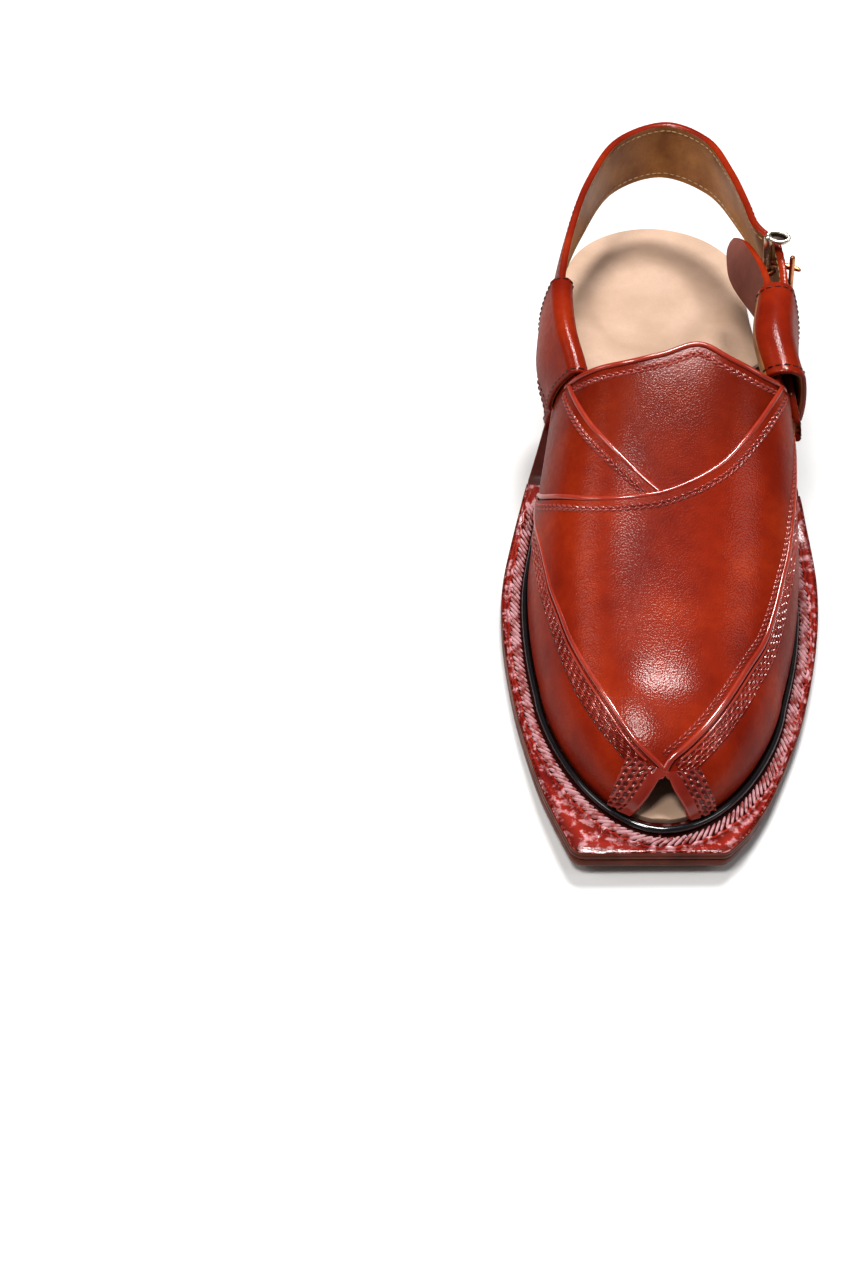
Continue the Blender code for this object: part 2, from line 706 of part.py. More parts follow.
def upper_grid():
    """The vamp as rows of points, and the two straps that leave its rear hem."""
    columns = sorted({-t for t in HALF_COLUMNS} | set(HALF_COLUMNS))
    rows = []
    for i in range(VAMP_ROWS + 1):
        u = (i / VAMP_ROWS) ** ROW_POWER
        rows.append([last_point(t, front_hem(t) + (float(rear_hem(t)) - front_hem(t)) * u)
                     for t in columns])
    rows = np.array(rows)
    low, high = STRAP_T[1], STRAP_T[0]
    left = [columns.index(t) for t in columns if -low - 1e-6 <= t <= -high + 1e-6]
    right = [columns.index(t) for t in columns if high - 1e-6 <= t <= low + 1e-6]
    lead = (-3, -1)
    hem_left = [[rows[k][i] for i in left[::-1]] for k in lead]
    hem_right = [[rows[k][i] for i in right] for k in lead]
    top, bottom = strap_rows(HEEL_STRAP, hem_left, 3)
    heel = round_end(across(top, bottom, hem_left[-1]), TAIL_TIP)
    top, bottom = strap_rows(GUARD_STRAP, hem_right, 4)
    guard = round_end(across(top, bottom, hem_right[-1]), GUARD_TIP)
    return columns, rows, left[::-1], right, heel, guard


def build_upper():
    columns, rows, left, right, heel, guard = upper_grid()
    n = len(columns)
    verts = [p for row in rows for p in row]
    faces = []
    for k in range(len(rows) - 1):
        for i in range(n - 1):
            faces.append((k * n + i, k * n + i + 1, (k + 1) * n + i + 1, (k + 1) * n + i))
    hem = (len(rows) - 1) * n
    for strap, seat in ((heel, left), (guard, right)):
        previous = [hem + i for i in seat]
        for row in strap[1:]:
            base = len(verts)
            verts += list(row)
            current = [base + j for j in range(len(row))]
            for j in range(len(row) - 1):
                faces.append((previous[j], previous[j + 1], current[j + 1], current[j]))
            previous = current
    obj = skin_solid("upper", verts, faces, WALL, RED_LEATHER)
    top = max(obj.data.polygons, key=lambda f: f.center.z if f.center.y < 0.0 else -1.0)
    if top.normal.z < 0:
        obj.data.flip_normals()
    return obj



# ---- loops -------------------------------------------------------------------------------
def at_y(line, y):
    """The point of a strap's edge line at the given Y, on its first run through it."""
    line = np.asarray(line)
    order = np.argsort(line[:, 1])
    return np.array([np.interp(y, line[order, 1], line[order, c]) for c in range(3)])


Station = namedtuple("Station", "top low radius_top radius_low out foot bow")


def medial_stations(heel):
    """Where the inner loop wraps the strap: centres of its two turns, and its foot."""
    first = heel[:22]
    stations = []
    for w in np.linspace(0, 1, 7):
        y = 8.0 + 41.0 * w
        top = at_y(first[:, 0], y)
        low = at_y(first[:, -1], y + 6.5 - 1.0 * w)
        mid = at_y(first[:, 2], y + 3.0)
        stations.append(wrap(top, low, top, low, mid, -1, MEDIAL_LOOP, w))
    return stations


def lateral_stations(heel, guard):
    """Where the outer loop wraps the guard strap and the tail together."""
    tail = heel[-30:]
    stations = []
    for w in np.linspace(0, 1, 7):
        y = 10.0 + 38.0 * w
        top_in = at_y(guard[:14, 0], y)
        low_in = at_y(guard[:14, -1], y + 8.5 - 3.5 * w)
        top_out = at_y(tail[:, 0], y)
        low_out = at_y(tail[:, -1], y + 8.5 - 3.5 * w)
        mid = at_y(tail[:, 2], y + 4.0 - 1.5 * w)
        stations.append(wrap(top_in, low_in, top_out, low_out, mid, 1, LATERAL_LOOP, w))
    return stations


def wrap(top_in, low_in, top_out, low_out, mid_out, side, loop, w):
    """A turn round straps whose outer faces run from top to low, the nearest to the foot
    first."""
    cross = (low_in - top_in) + (low_out - top_out)
    cross /= np.linalg.norm(cross)
    out = np.array([side, 0.0, 0.0]) - cross * cross[0] * side
    out /= np.linalg.norm(out)
    slack = LOOP_PLAY + 0.2

    def middle(inner, outer, level):
        span = float((outer - inner) @ out) + WALL
        centre = inner + out * (span / 2 - WALL)
        centre = centre + cross * (float((level - centre) @ cross))
        return centre, span / 2 + slack

    high = top_in if top_in @ cross < top_out @ cross else top_out
    deep = low_in if low_in @ cross > low_out @ cross else low_out
    top, radius_top = middle(top_in, top_out, high)
    low, radius_low = middle(low_in, low_out, deep)
    top = top + cross * (radius_top * 0.35)
    low = low - cross * (radius_low * 0.2)
    foot_y = loop.foot_front + (loop.foot_rear - loop.foot_front) * w
    edge = medial_edge if side < 0 else lateral_edge
    foot = np.array([float(edge(foot_y)) - side * (0.5 + LOOP_WALL * 0.92), foot_y,
                     float(midsole_top(foot_y)) + GAP])
    bow = max(0.5, float((mid_out - (top_out + low_out) / 2) @ out))
    return Station(top, low, radius_top, radius_low, out, foot, bow)


def loop_rings(station, side):
    """Outer contour and hole of a loop at one station."""
    down = station.low - station.top
    down /= np.linalg.norm(down)
    out = station.out
    half = LOOP_WALL * 0.92
    outer, hole = [], []
    steps = [(station.low, station.radius_low, a) for a in (-60, -30, 0)]
    steps += [(None, 0, 1 / 3), (None, 0, 2 / 3)]
    steps += [(station.top, station.radius_top, a) for a in (0, 30, 60, 90, 120, 150, 180)]
    steps += [(None, 1, 1 / 3), (None, 1, 2 / 3)]
    steps += [(station.low, station.radius_low, a) for a in (180, 210, 240)]
    for centre, value, angle in steps:
        for line, wall in ((hole, 0.0), (outer, LOOP_WALL)):
            if centre is None:
                sign = 1 if value == 0 else -1
                low = station.low + out * sign * (station.radius_low + wall)
                top = station.top + out * sign * (station.radius_top + wall)
                u = angle if sign > 0 else 1 - angle
                bow = station.bow if sign > 0 else 0.0
                line.append(low + (top - low) * u + out * bow)
            else:
                a = math.radians(angle)
                line.append(centre + out * math.cos(a) * (value + wall)
                            - down * math.sin(a) * (value + wall))
    bottom = station.low + down * station.radius_low
    seam = bottom + down * (LOOP_WALL + 1.2)
    foot = station.foot
    level = np.array([side, 0.0, 0.0])
    run = np.linalg.norm(foot - seam)
    legs = ([], [])
    for k in range(5):
        u = k / 4
        h = ((1 + 2 * u) * (1 - u) ** 2, u * (1 - u) ** 2, u * u * (3 - 2 * u),
             u * u * (u - 1))
        centre = (seam * h[0] + down * run * 0.9 * h[1] + foot * h[2]
                  + np.array([0, 0.15, -1.0]) * run * 0.7 * h[3])
        if k == 4:
            centre = foot
        across_leg = out + (level - out) * u
        across_leg /= np.linalg.norm(across_leg)
        legs[0].append(centre + across_leg * half)
        legs[1].append(centre - across_leg * half)
    ring = legs[0][::-1] + outer + legs[1]
    return ring, [bottom] + hole


def build_loop(name, stations, side):
    rings = [loop_rings(s, side) for s in stations]
    n, m = len(rings[0][0]), len(rings[0][1])
    verts, faces = [], []
    for ring, hole in rings:
        verts += ring + hole
    size = n + m
    for k in range(len(rings) - 1):
        a, b = k * size, (k + 1) * size
        for i in range(n):
            j = (i + 1) % n
            faces.append((a + i, a + j, b + j, b + i))
        for i in range(m):
            j = (i + 1) % m
            faces.append((a + n + j, a + n + i, b + n + i, b + n + j))
    for k, flip in ((0, False), (len(rings) - 1, True)):
        a = k * size
        end = []
        for i in range(4):
            end.append((a + i, a + i + 1, a + n - 2 - i, a + n - 1 - i))
        for i in range(m):
            end.append((a + 4 + i, a + 5 + i, a + n + (i + 1) % m, a + n + i))
        end.append((a + 4, a + n, a + n - 5))
        faces += [f[::-1] if flip else f for f in end]
    return to_mesh(name, verts, faces, RED_LEATHER)


# ---- buckle ------------------------------------------------------------------------------
def tube(name, path, sizes, sides, closed, up, material):
    """Sweep an oval along a path; `sizes` are its half-axes across and along `up`."""
    path = np.asarray(path, float)
    n = len(path)
    verts, faces = [], []
    for i in range(n):
        if closed:
            step = path[(i + 1) % n] - path[i - 1]
        else:
            step = path[min(i + 1, n - 1)] - path[max(i - 1, 0)]
        step /= np.linalg.norm(step)
        lift = up[i] - step * (up[i] @ step)
        lift /= np.linalg.norm(lift)
        wide = np.cross(lift, step)
        for k in range(sides):
            a = 2 * math.pi * (k + 0.5) / sides
            verts.append(path[i] + wide * math.cos(a) * sizes[i][0]
                         + lift * math.sin(a) * sizes[i][1])
    spans = n if closed else n - 1
    for i in range(spans):
        for k in range(sides):
            j = (k + 1) % sides
            a, b = i * sides, (i + 1) % n * sides
            faces.append((a + k, a + j, b + j, b + k))
    if not closed:
        faces.append(tuple(range(sides))[::-1])
        faces.append(tuple((n - 1) * sides + k for k in range(sides)))
    return to_mesh(name, verts, faces, material, smooth=60)


def build_buckle():
    """A frame of round wire, its two bars on either side of the strap, and a prong."""
    down = BUCKLE_BAR / np.linalg.norm(BUCKLE_BAR)
    along = BUCKLE_OUTER - BUCKLE_INNER
    along = along - down * (along @ down)
    span = float(np.linalg.norm(along))
    along /= span
    out = np.cross(down, along)
    if out[0] < 0:
        out = -out
    r = BUCKLE_WIRE / 2
    corners = [BUCKLE_INNER + BUCKLE_BAR, BUCKLE_INNER, BUCKLE_OUTER, BUCKLE_OUTER + BUCKLE_BAR]
    path, sizes = [], []
    for k in range(4):
        before, corner, after = (corners[(k + d) % 4] for d in (-1, 0, 1))
        into = (corner - before) / np.linalg.norm(corner - before)
        onto = (after - corner) / np.linalg.norm(after - corner)
        start, end = corner - into * 2.4, corner + onto * 2.4
        for u in (0.0, 0.33, 0.67, 1.0):
            path.append(start * (1 - u) ** 2 + corner * 2 * u * (1 - u) + end * u * u)
            sizes.append((r, r))
        if k % 2 == 1:
            path.append((corner + after) / 2)
            sizes.append((r * 1.15, r * 1.3))
    tube("buckle_frame", path, sizes, 8, True, [out] * len(path), BRASS)
    build_prong(down, along, out, span)


def build_prong(down, along, out, span):
    """Hooked round the inner bar, through the strap, and laid on the outer bar."""
    r, bar = PRONG_WIRE / 2, BUCKLE_WIRE / 2
    hub = BUCKLE_INNER + BUCKLE_BAR / 2
    turn = bar + GAP + r
    path = []
    for i in range(10):
        a = math.radians(345 - 255 * i / 9)
        path.append(hub + along * math.cos(a) * turn + out * math.sin(a) * turn)
    for share in (0.3, 0.65, 1.0):
        path.append(hub + along * span * share + out * turn)
    path.append(hub + along * (span + 2.2) + out * (turn - 0.4))
    sizes = [(r, r)] * (len(path) - 1) + [(r * 0.7, r * 0.7)]
    tube("buckle_prong", path, sizes, 6, False, [down] * len(path), BRASS)
    ring = []
    for i in range(10):
        a = 2 * math.pi * i / 10
        ring.append(hub + out * (turn + math.cos(a) * (r + 0.6)) + down * math.sin(a) * (r + 0.6))
    verts = [p - along * 3.0 for p in ring] + [p + along * (span - 0.4) for p in ring]
    faces = [tuple(range(10)), tuple(range(19, 9, -1))]
    faces += [(i, (i + 1) % 10, 10 + (i + 1) % 10, 10 + i) for i in range(10)]
    punch = to_mesh("strap_hole_cutter", verts, faces, None)
    SHOE.objects.unlink(punch)
    CUTTERS.objects.link(punch)
    punch.hide_render = True
    punch.display_type = "WIRE"
    mod = bpy.data.objects["upper"].modifiers.new("Prong hole", "BOOLEAN")
    mod.operation = "DIFFERENCE"
    mod.solver = "EXACT"
    mod.object = punch


clear_scene()
SHOE = bpy.data.collections.new("norozi_chappal")
CUTTERS = bpy.data.collections.new("cutters")
bpy.context.scene.collection.children.link(SHOE)
bpy.context.scene.collection.children.link(CUTTERS)
RED_LEATHER = leather("red_leather", (0.35, 0.03, 0.01))
EDGE_LEATHER = leather("edge_leather", (0.14, 0.03, 0.015))
TAN_LEATHER = leather("tan_leather", (0.58, 0.36, 0.2), 0.6)
BLACK = leather("black_piping", (0.01, 0.01, 0.012), 0.2)
RUBBER = leather("black_rubber", (0.012, 0.012, 0.012), 0.45)
BRASS = metal("antique_brass", (0.55, 0.45, 0.3))
build_sole()
build_insole()
build_heel()
build_upper()
STRAPS = upper_grid()[4:]
build_loop("medial_loop", medial_stations(STRAPS[0]), -1)
build_loop("lateral_loop", lateral_stations(*STRAPS), 1)
build_buckle()
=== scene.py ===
"""Looks of the norozi chappal, the left shoe of a pair: red leather upper with crossed panels,
tooled bands and braided seams, a welted sole with a chiselled toe, and a stacked heel.

Sizes are millimetres in the last's own frame (floor z = 0, toe along -Y, outer side +X) until
`place` moves them to the model's origin and turns them into metres.
"""
import logging
import math
from collections.abc import Callable, Sequence
from dataclasses import dataclass, field
from enum import Enum
from functools import partial
from typing import NamedTuple

import bmesh
import bpy
import numpy as np
from mathutils import Matrix, Vector
from mathutils.bvhtree import BVHTree


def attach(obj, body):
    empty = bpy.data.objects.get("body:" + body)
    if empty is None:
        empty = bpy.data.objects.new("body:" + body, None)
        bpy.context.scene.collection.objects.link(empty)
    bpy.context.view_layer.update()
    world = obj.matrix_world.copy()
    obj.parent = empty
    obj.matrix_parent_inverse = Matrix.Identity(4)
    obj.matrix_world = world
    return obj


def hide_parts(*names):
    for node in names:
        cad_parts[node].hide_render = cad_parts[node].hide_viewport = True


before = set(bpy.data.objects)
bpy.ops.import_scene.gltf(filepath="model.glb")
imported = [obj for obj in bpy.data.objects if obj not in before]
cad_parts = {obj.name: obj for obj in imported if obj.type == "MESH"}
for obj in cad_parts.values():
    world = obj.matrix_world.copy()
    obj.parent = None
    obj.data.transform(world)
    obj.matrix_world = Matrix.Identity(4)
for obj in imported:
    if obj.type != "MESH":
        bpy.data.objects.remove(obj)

LOG = logging.getLogger("norozi_chappal")
MM = 0.001
ORIGIN = (2.46, 0.14, 0.0)
GAP = 0.3
STITCH_LIFT = 0.12
WAX_IOR = 1.9
# Colour of the painted highlight: whitish-pink glints on the welt and its ribs.
PAINTED_GLINT = (0.60, 0.36, 0.38)
Array = np.ndarray
Spot = tuple[float, float, float]
Colour = tuple[float, float, float]
Shape = tuple[Array, list[tuple[int, ...]]]
Material = bpy.types.Material
Socket = bpy.types.NodeSocket
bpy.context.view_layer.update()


# ---- small geometry helpers --------------------------------------------------------------
def place(points: Array) -> Array:
    """Move points from the last's frame to the model's frame.

    Args:
        points: coordinates in millimetres, in any array shape that ends in 3.

    Returns:
        The same points in metres, about the model's origin.
    """
    return (np.asarray(points, float) - ORIGIN) * MM


def unit(v: Array) -> Array:
    """Return the vectors scaled to length one along the last axis."""
    v = np.asarray(v, float)
    return v / np.maximum(np.linalg.norm(v, axis=-1, keepdims=True), 1e-12)


def through(rows: Sequence[NamedTuple], along: str, value: str) -> Callable[[Array], Array]:
    """Make a smooth function through the rows of a table.

    Args:
        rows: table rows, in rising order of the field `along`.
        along: name of the field that the function takes.
        value: name of the field that it gives.

    Returns:
        A function that takes a number or an array.
    """
    a = np.array([getattr(r, along) for r in rows], float)
    b = np.array([getattr(r, value) for r in rows], float)
    slope = np.gradient(b, a)

    def at(v: Array) -> Array:
        """Read the curve at `v`.

        Args:
            v: a number or an array.

        Returns:
            The value there.
        """
        v = np.clip(np.asarray(v, float), a[0], a[-1])
        k = np.clip(np.searchsorted(a, v, side="right") - 1, 0, len(a) - 2)
        h = a[k + 1] - a[k]
        u = (v - a[k]) / h
        return ((1 + 2 * u) * (1 - u) ** 2 * b[k] + u * (1 - u) ** 2 * h * slope[k]
                + u * u * (3 - 2 * u) * b[k + 1] + u * u * (u - 1) * h * slope[k + 1])

    return at


def spline(points: Array, steps: int) -> Array:
    """Run a centripetal Catmull-Rom curve through points.

    Args:
        points: an (n, d) array of control points.
        steps: pieces to each span.

    Returns:
        The points of the curve, the control points among them.
    """
    p = np.asarray(points, float)
    p = np.vstack([2 * p[0] - p[1], p, 2 * p[-1] - p[-2]])
    out = []
    for i in range(1, len(p) - 2):
        a, b, c, d = p[i - 1], p[i], p[i + 1], p[i + 2]
        k = [0.0]
        for q, r in ((a, b), (b, c), (c, d)):
            k.append(k[-1] + math.sqrt(np.linalg.norm(r - q)))
        for j in range(steps):
            t = k[1] + (k[2] - k[1]) * j / steps
            ab = a + (b - a) * (t - k[0]) / (k[1] - k[0])
            bc = b + (c - b) * (t - k[1]) / (k[2] - k[1])
            cd = c + (d - c) * (t - k[2]) / (k[3] - k[2])
            left = ab + (bc - ab) * (t - k[0]) / (k[2] - k[0])
            right = bc + (cd - bc) * (t - k[1]) / (k[3] - k[1])
            out.append(left + (right - left) * (t - k[1]) / (k[2] - k[1]))
    out.append(p[-2])
    return np.array(out)


def run_of(points: Array) -> Array:
    """Return the running length along a polyline."""
    return np.concatenate([[0.0], np.cumsum(np.linalg.norm(np.diff(points, axis=0), axis=1))])


def evenly(points: Array, count: int) -> Array:
    """Return `count` points spaced evenly along a polyline.

    Args:
        points: (n, d) corners of the line.
        count: number of points, both ends among them.

    Returns:
        A (count, d) array.
    """
    p = np.asarray(points, float)
    run = run_of(p)
    at = np.linspace(0, run[-1], count)
    return np.stack([np.interp(at, run, p[:, c]) for c in range(p.shape[1])], 1)


def between(a: Array, b: Array, count: int) -> Array:
    """Return the inner ones of `count` points on the straight line from `a` to `b`."""
    return a + (b - a) * np.linspace(0, 1, count)[1:-1, None]


def inward(points: Array, distance: float) -> Array:
    """Move the points of a flat closed line to the left of their direction of travel."""
    step = unit(np.roll(points, -1, 0) - np.roll(points, 1, 0))
    return points + np.stack([-step[:, 1], step[:, 0]], 1) * distance


def normals_to(points: Array) -> Array:
    """Return unit normals to the left of a flat open line."""
    step = unit(np.gradient(points, axis=0))
    return np.stack([-step[:, 1], step[:, 0]], 1)


def raised(flat: Array, height: Array) -> Array:
    """Give points of a plan their heights."""
    return np.concatenate([flat, height[..., None]], -1)


def soft(v: Array) -> Array:
    """Return the smooth step of values clipped to 0...1."""
    v = np.clip(v, 0.0, 1.0)
    return v * v * (3 - 2 * v)


def grid_normals(points: Array) -> Array:
    """Return unit normals of a grid of points, rows crossed with columns."""
    return unit(np.cross(np.gradient(points, axis=1), np.gradient(points, axis=0)))


# Each edge of a grid, with the row or column beside it.
GRID_EDGES = [(np.s_[0], np.s_[1]), (np.s_[-1], np.s_[-2]), (np.s_[:, 0], np.s_[:, 1]),
              (np.s_[:, -1], np.s_[:, -2])]


# ---- materials ---------------------------------------------------------------------------
class Slot(Enum):
    """The record's material slots."""

    RED = "red_leather"
    EDGE = "edge_leather"
    TAN = "tan_leather"
    PIPING = "black_piping"
    RUBBER = "black_rubber"
    BRASS = "antique_brass"


def add_node(tree: bpy.types.NodeTree, kind: str, **values: object) -> bpy.types.Node:
    """Add a node to a tree and set its plain properties.

    Args:
        tree: the tree.
        kind: Blender's name for the node.
        **values: its properties by name.

    Returns:
        The node.
    """
    node = tree.nodes.new(kind)
    for key, value in values.items():
        setattr(node, key, value)
    return node


class NodeInk:
    """Writes the nodes of one material."""

    def __init__(self, name: str) -> None:
        """Start a material with its shader."""
        self.material = bpy.data.materials.new(name)
        self.material.use_nodes = True
        self.tree = self.material.node_tree
        self.shader = self.tree.nodes["Principled BSDF"]
        self.height = None

    def node(self, kind: str, **values: object) -> bpy.types.Node:
        """Add a node to the material."""
        return add_node(self.tree, kind, **values)

    def link(self, out: Socket, into: Socket) -> None:
        """Join two sockets."""
        self.tree.links.new(out, into)

    def set(self, **values: float | tuple) -> None:
        """Set sockets of the shader by name, with _ for a space."""
        for key, value in values.items():
            self.shader.inputs[key.replace("_", " ")].default_value = value

    def coords(self, scale: Spot = (1, 1, 1)) -> Socket:
        """Give the object's own coordinates in millimetres."""
        mapping = self.node("ShaderNodeMapping")
        mapping.inputs["Scale"].default_value = tuple(1000.0 * s for s in scale)
        self.link(self.node("ShaderNodeTexCoord").outputs["Object"], mapping.inputs["Vector"])
        return mapping.outputs["Vector"]

    def noise(self, pitch: float, detail: float, rough: float,
              coords: Socket | None = None) -> Socket:
        """Add noise whose lumps are about `pitch` millimetres across.

        Args:
            pitch: size of a lump.
            detail: octaves.
            rough: weight of the finer octaves.
            coords: where to read it, the object's own place by default.

        Returns:
            A number from 0 to 1.
        """
        node = self.node("ShaderNodeTexNoise")
        node.inputs["Scale"].default_value = 1.0 / pitch
        node.inputs["Detail"].default_value = detail
        node.inputs["Roughness"].default_value = rough
        self.link(coords or self.coords(), node.inputs["Vector"])
        return node.outputs["Fac"]

    def cells(self, pitch: float) -> Socket:
        """Add a cell pattern, the pebbles of leather."""
        node = self.node("ShaderNodeTexVoronoi")
        node.inputs["Scale"].default_value = 1.0 / pitch
        self.link(self.coords(), node.inputs["Vector"])
        return node.outputs["Distance"]

    def attribute(self, name: str) -> Socket:
        """Read a number stored on the piece."""
        return self.node("ShaderNodeAttribute", attribute_name=name).outputs["Fac"]

    def ramp(self, fac: Socket,
             stops: Sequence[tuple[float, Sequence[float]]]) -> Socket:
        """Turn a number into a colour through stops.

        Args:
            fac: the number.
            stops: pairs of a place from 0 to 1 and the colour there.

        Returns:
            The colour.
        """
        node = self.node("ShaderNodeValToRGB")
        ramp = node.color_ramp
        while len(ramp.elements) < len(stops):
            ramp.elements.new(0.5)
        for element, (at, colour) in zip(ramp.elements, stops):
            element.position = at
            element.color = (*colour, 1.0)
        self.link(fac, node.inputs["Fac"])
        return node.outputs["Color"]

    def grey(self, fac: Socket, low: float, high: float, start: float = 0.0,
             end: float = 1.0) -> Socket:
        """Turn a number into a grey that runs from `start` at `low` to `end` at `high`."""
        return self.ramp(fac, ((low, (start,) * 3), (high, (end,) * 3)))

    def blend(self, fac: Socket, a: object, b: object) -> Socket:
        """Mix two colours, each a socket or a tuple.

        Args:
            fac: share of `b`.
            a: colour at 0.
            b: colour at 1.

        Returns:
            The mixed colour.
        """
        node = self.node("ShaderNodeMix", data_type="RGBA")
        sockets = [s for s in node.inputs if s.enabled]
        for socket, value in zip(sockets, (fac, a, b)):
            if isinstance(value, Socket):
                self.link(value, socket)
            else:
                socket.default_value = (*value, 1.0)
        return next(s for s in node.outputs if s.enabled)

    def bump(self, height: Socket, depth: float, strength: float) -> None:
        """Add relief `depth` millimetres deep over what is there already.

        Args:
            height: the relief as a number from 0 to 1.
            depth: its depth in millimetres.
            strength: share of it that shows.
        """
        node = self.node("ShaderNodeBump")
        node.inputs["Distance"].default_value = depth * MM
        node.inputs["Strength"].default_value = strength
        self.link(height, node.inputs["Height"])
        if self.height is not None:
            self.link(self.height, node.inputs["Normal"])
        self.height = node.outputs["Normal"]
        for key in ("Normal", "Coat Normal"):
            self.link(self.height, self.shader.inputs[key])

    def colour(self, socket: Socket) -> None:
        """Feed the base colour."""
        self.link(socket, self.shader.inputs["Base Color"])

    def rough(self, fac: Socket, start: float, end: float) -> None:
        """Let the roughness run from `start` to `end` with a number."""
        self.link(self.grey(fac, 0.3, 0.7, start, end), self.shader.inputs["Roughness"])


@dataclass(frozen=True)
class PolishedLeather:
    """Hand-polished calf: a deep mottled dye, fine grain and a thin coat of wax, with painted shade
    and painted highlight blotches where asked.
    """

    name: str
    dye: Colour
    dark: Colour
    warm: Colour
    gloss: float = 0.5
    coat: float = 0.16
    coat_rough: float = 0.2
    grain: float = 0.06
    painted_shade: bool = False
    # Strength of the painted highlight blotches.
    glints: float = 0.0
    # Share of the dark colour that the painted shade reaches.
    depth: float = 0.2
    bare: float = 0.51

    def material(self) -> Material:
        """Build the material; with its shade flag set it darkens where the attribute `pit` says,
        painted shade for the most part.
        """
        ink = NodeInk(self.name)
        cloud = ink.noise(24.0, 3.0, 0.55)
        fleck = ink.noise(2.2, 4.0, 0.6)
        body = ink.ramp(cloud, ((0.3, self.dark), (0.5, self.dye), (0.72, self.warm)))
        body = ink.blend(ink.grey(fleck, 0.40, 0.75, end=0.35), body, self.dark)
        if self.painted_shade:
            # The deep colour is the colour of the painted shade.
            deep = tuple(c * self.depth for c in self.dark)
            body = ink.blend(ink.attribute("pit"), body, deep)
        if self.glints:
            # Painted highlight: whitish-pink blotches, kept out of the painted shade.
            glint_mask = ink.grey(ink.noise(3.0, 4.0, 0.6), self.bare, self.bare + 0.13,
                             end=self.glints)
            if self.painted_shade:
                glint_mask = ink.blend(ink.attribute("pit"), glint_mask, (0.0, 0.0, 0.0))
            body = ink.blend(glint_mask, body, PAINTED_GLINT)
        ink.colour(body)
        ink.rough(fleck, self.gloss - 0.05, self.gloss + 0.08)
        ink.set(Coat_Weight=self.coat, Coat_Roughness=self.coat_rough, Coat_IOR=WAX_IOR,
                Specular_IOR_Level=0.02)
        ink.bump(ink.cells(0.6), self.grain, 0.6)
        ink.bump(ink.noise(2.4, 2.0, 0.5), 0.05, 0.4)
        return ink.material


@dataclass(frozen=True)
class NaturalLeather:
    """Undyed or lightly tinted leather with a matt face."""

    name: str
    light: Colour
    dark: Colour
    rough: float = 0.62
    pebble: float = 0.9
    relief: float = 0.06
    cloud: float = 20.0
    shade: bool = False

    def material(self) -> Material:
        """Build the material; one with `shade` set darkens where the attribute `pit` says: the dyed
        margin of the tread, and on the insole a darker heel ring and painted shade at the waist.
        """
        ink = NodeInk(self.name)
        tone = ink.noise(self.cloud, 4.0, 0.6)
        body = ink.ramp(tone, ((0.28, self.dark), (0.62, self.light)))
        fine = ink.noise(0.8, 3.0, 0.65)
        body = ink.blend(ink.grey(fine, 0.45, 0.85, end=0.45), body, self.dark)
        if self.shade:
            body = ink.blend(ink.attribute("pit"), body, tuple(0.55 * c for c in self.dark))
        ink.colour(body)
        ink.set(Roughness=self.rough, Specular_IOR_Level=0.35)
        ink.bump(ink.cells(self.pebble), self.relief, 0.5)
        ink.bump(ink.noise(5.0, 3.0, 0.5), 0.16, 0.4)
        return ink.material


@dataclass(frozen=True)
class CutEdge:
    """Dyed and burnished edge of a leather layer: fibres run along it, streaked with dye."""

    name: str
    dye: Colour
    streak: Colour
    rough: float = 0.36
    coat: float = 0.12
    streaks: float = 0.5

    def material(self) -> Material:
        """Build the material."""
        ink = NodeInk(self.name)
        along = ink.coords((0.10, 0.10, 1.6))
        fibre = ink.noise(1.3, 4.0, 0.65, along)
        patch = ink.noise(9.0, 4.0, 0.6)
        body = ink.blend(ink.grey(fibre, 0.42, 0.66, end=self.streaks), self.dye, self.streak)
        body = ink.blend(ink.grey(patch, 0.42, 0.72, end=self.streaks * 0.9), body, self.streak)
        ink.colour(body)
        ink.rough(patch, self.rough - 0.08, self.rough + 0.14)
        ink.set(Coat_Weight=self.coat, Coat_Roughness=0.18, Specular_IOR_Level=0.1)
        ink.bump(fibre, 0.10, 0.5)
        return ink.material


@dataclass(frozen=True)
class PlainFinish:
    """An even finish with a little grain: thread, wax, rubber or metal."""

    name: str
    colour: Colour
    other: Colour
    rough: float
    metallic: float = 0.0
    coat: float = 0.0
    grain: float = 0.02
    pitch: float = 1.0
    cloud: float = 5.0
    spec: float = 0.4
    coat_rough: float = 0.1

    def material(self) -> Material:
        """Build the material."""
        ink = NodeInk(self.name)
        tone = ink.noise(self.cloud, 3.0, 0.6)
        ink.colour(ink.ramp(tone, ((0.38, self.other), (0.6, self.colour))))
        ink.rough(tone, self.rough + 0.1, self.rough)
        ink.set(Metallic=self.metallic, Coat_Weight=self.coat, Coat_Roughness=self.coat_rough,
                Specular_IOR_Level=self.spec)
        ink.bump(ink.noise(self.pitch, 3.0, 0.6), self.grain, 0.6)
        return ink.material


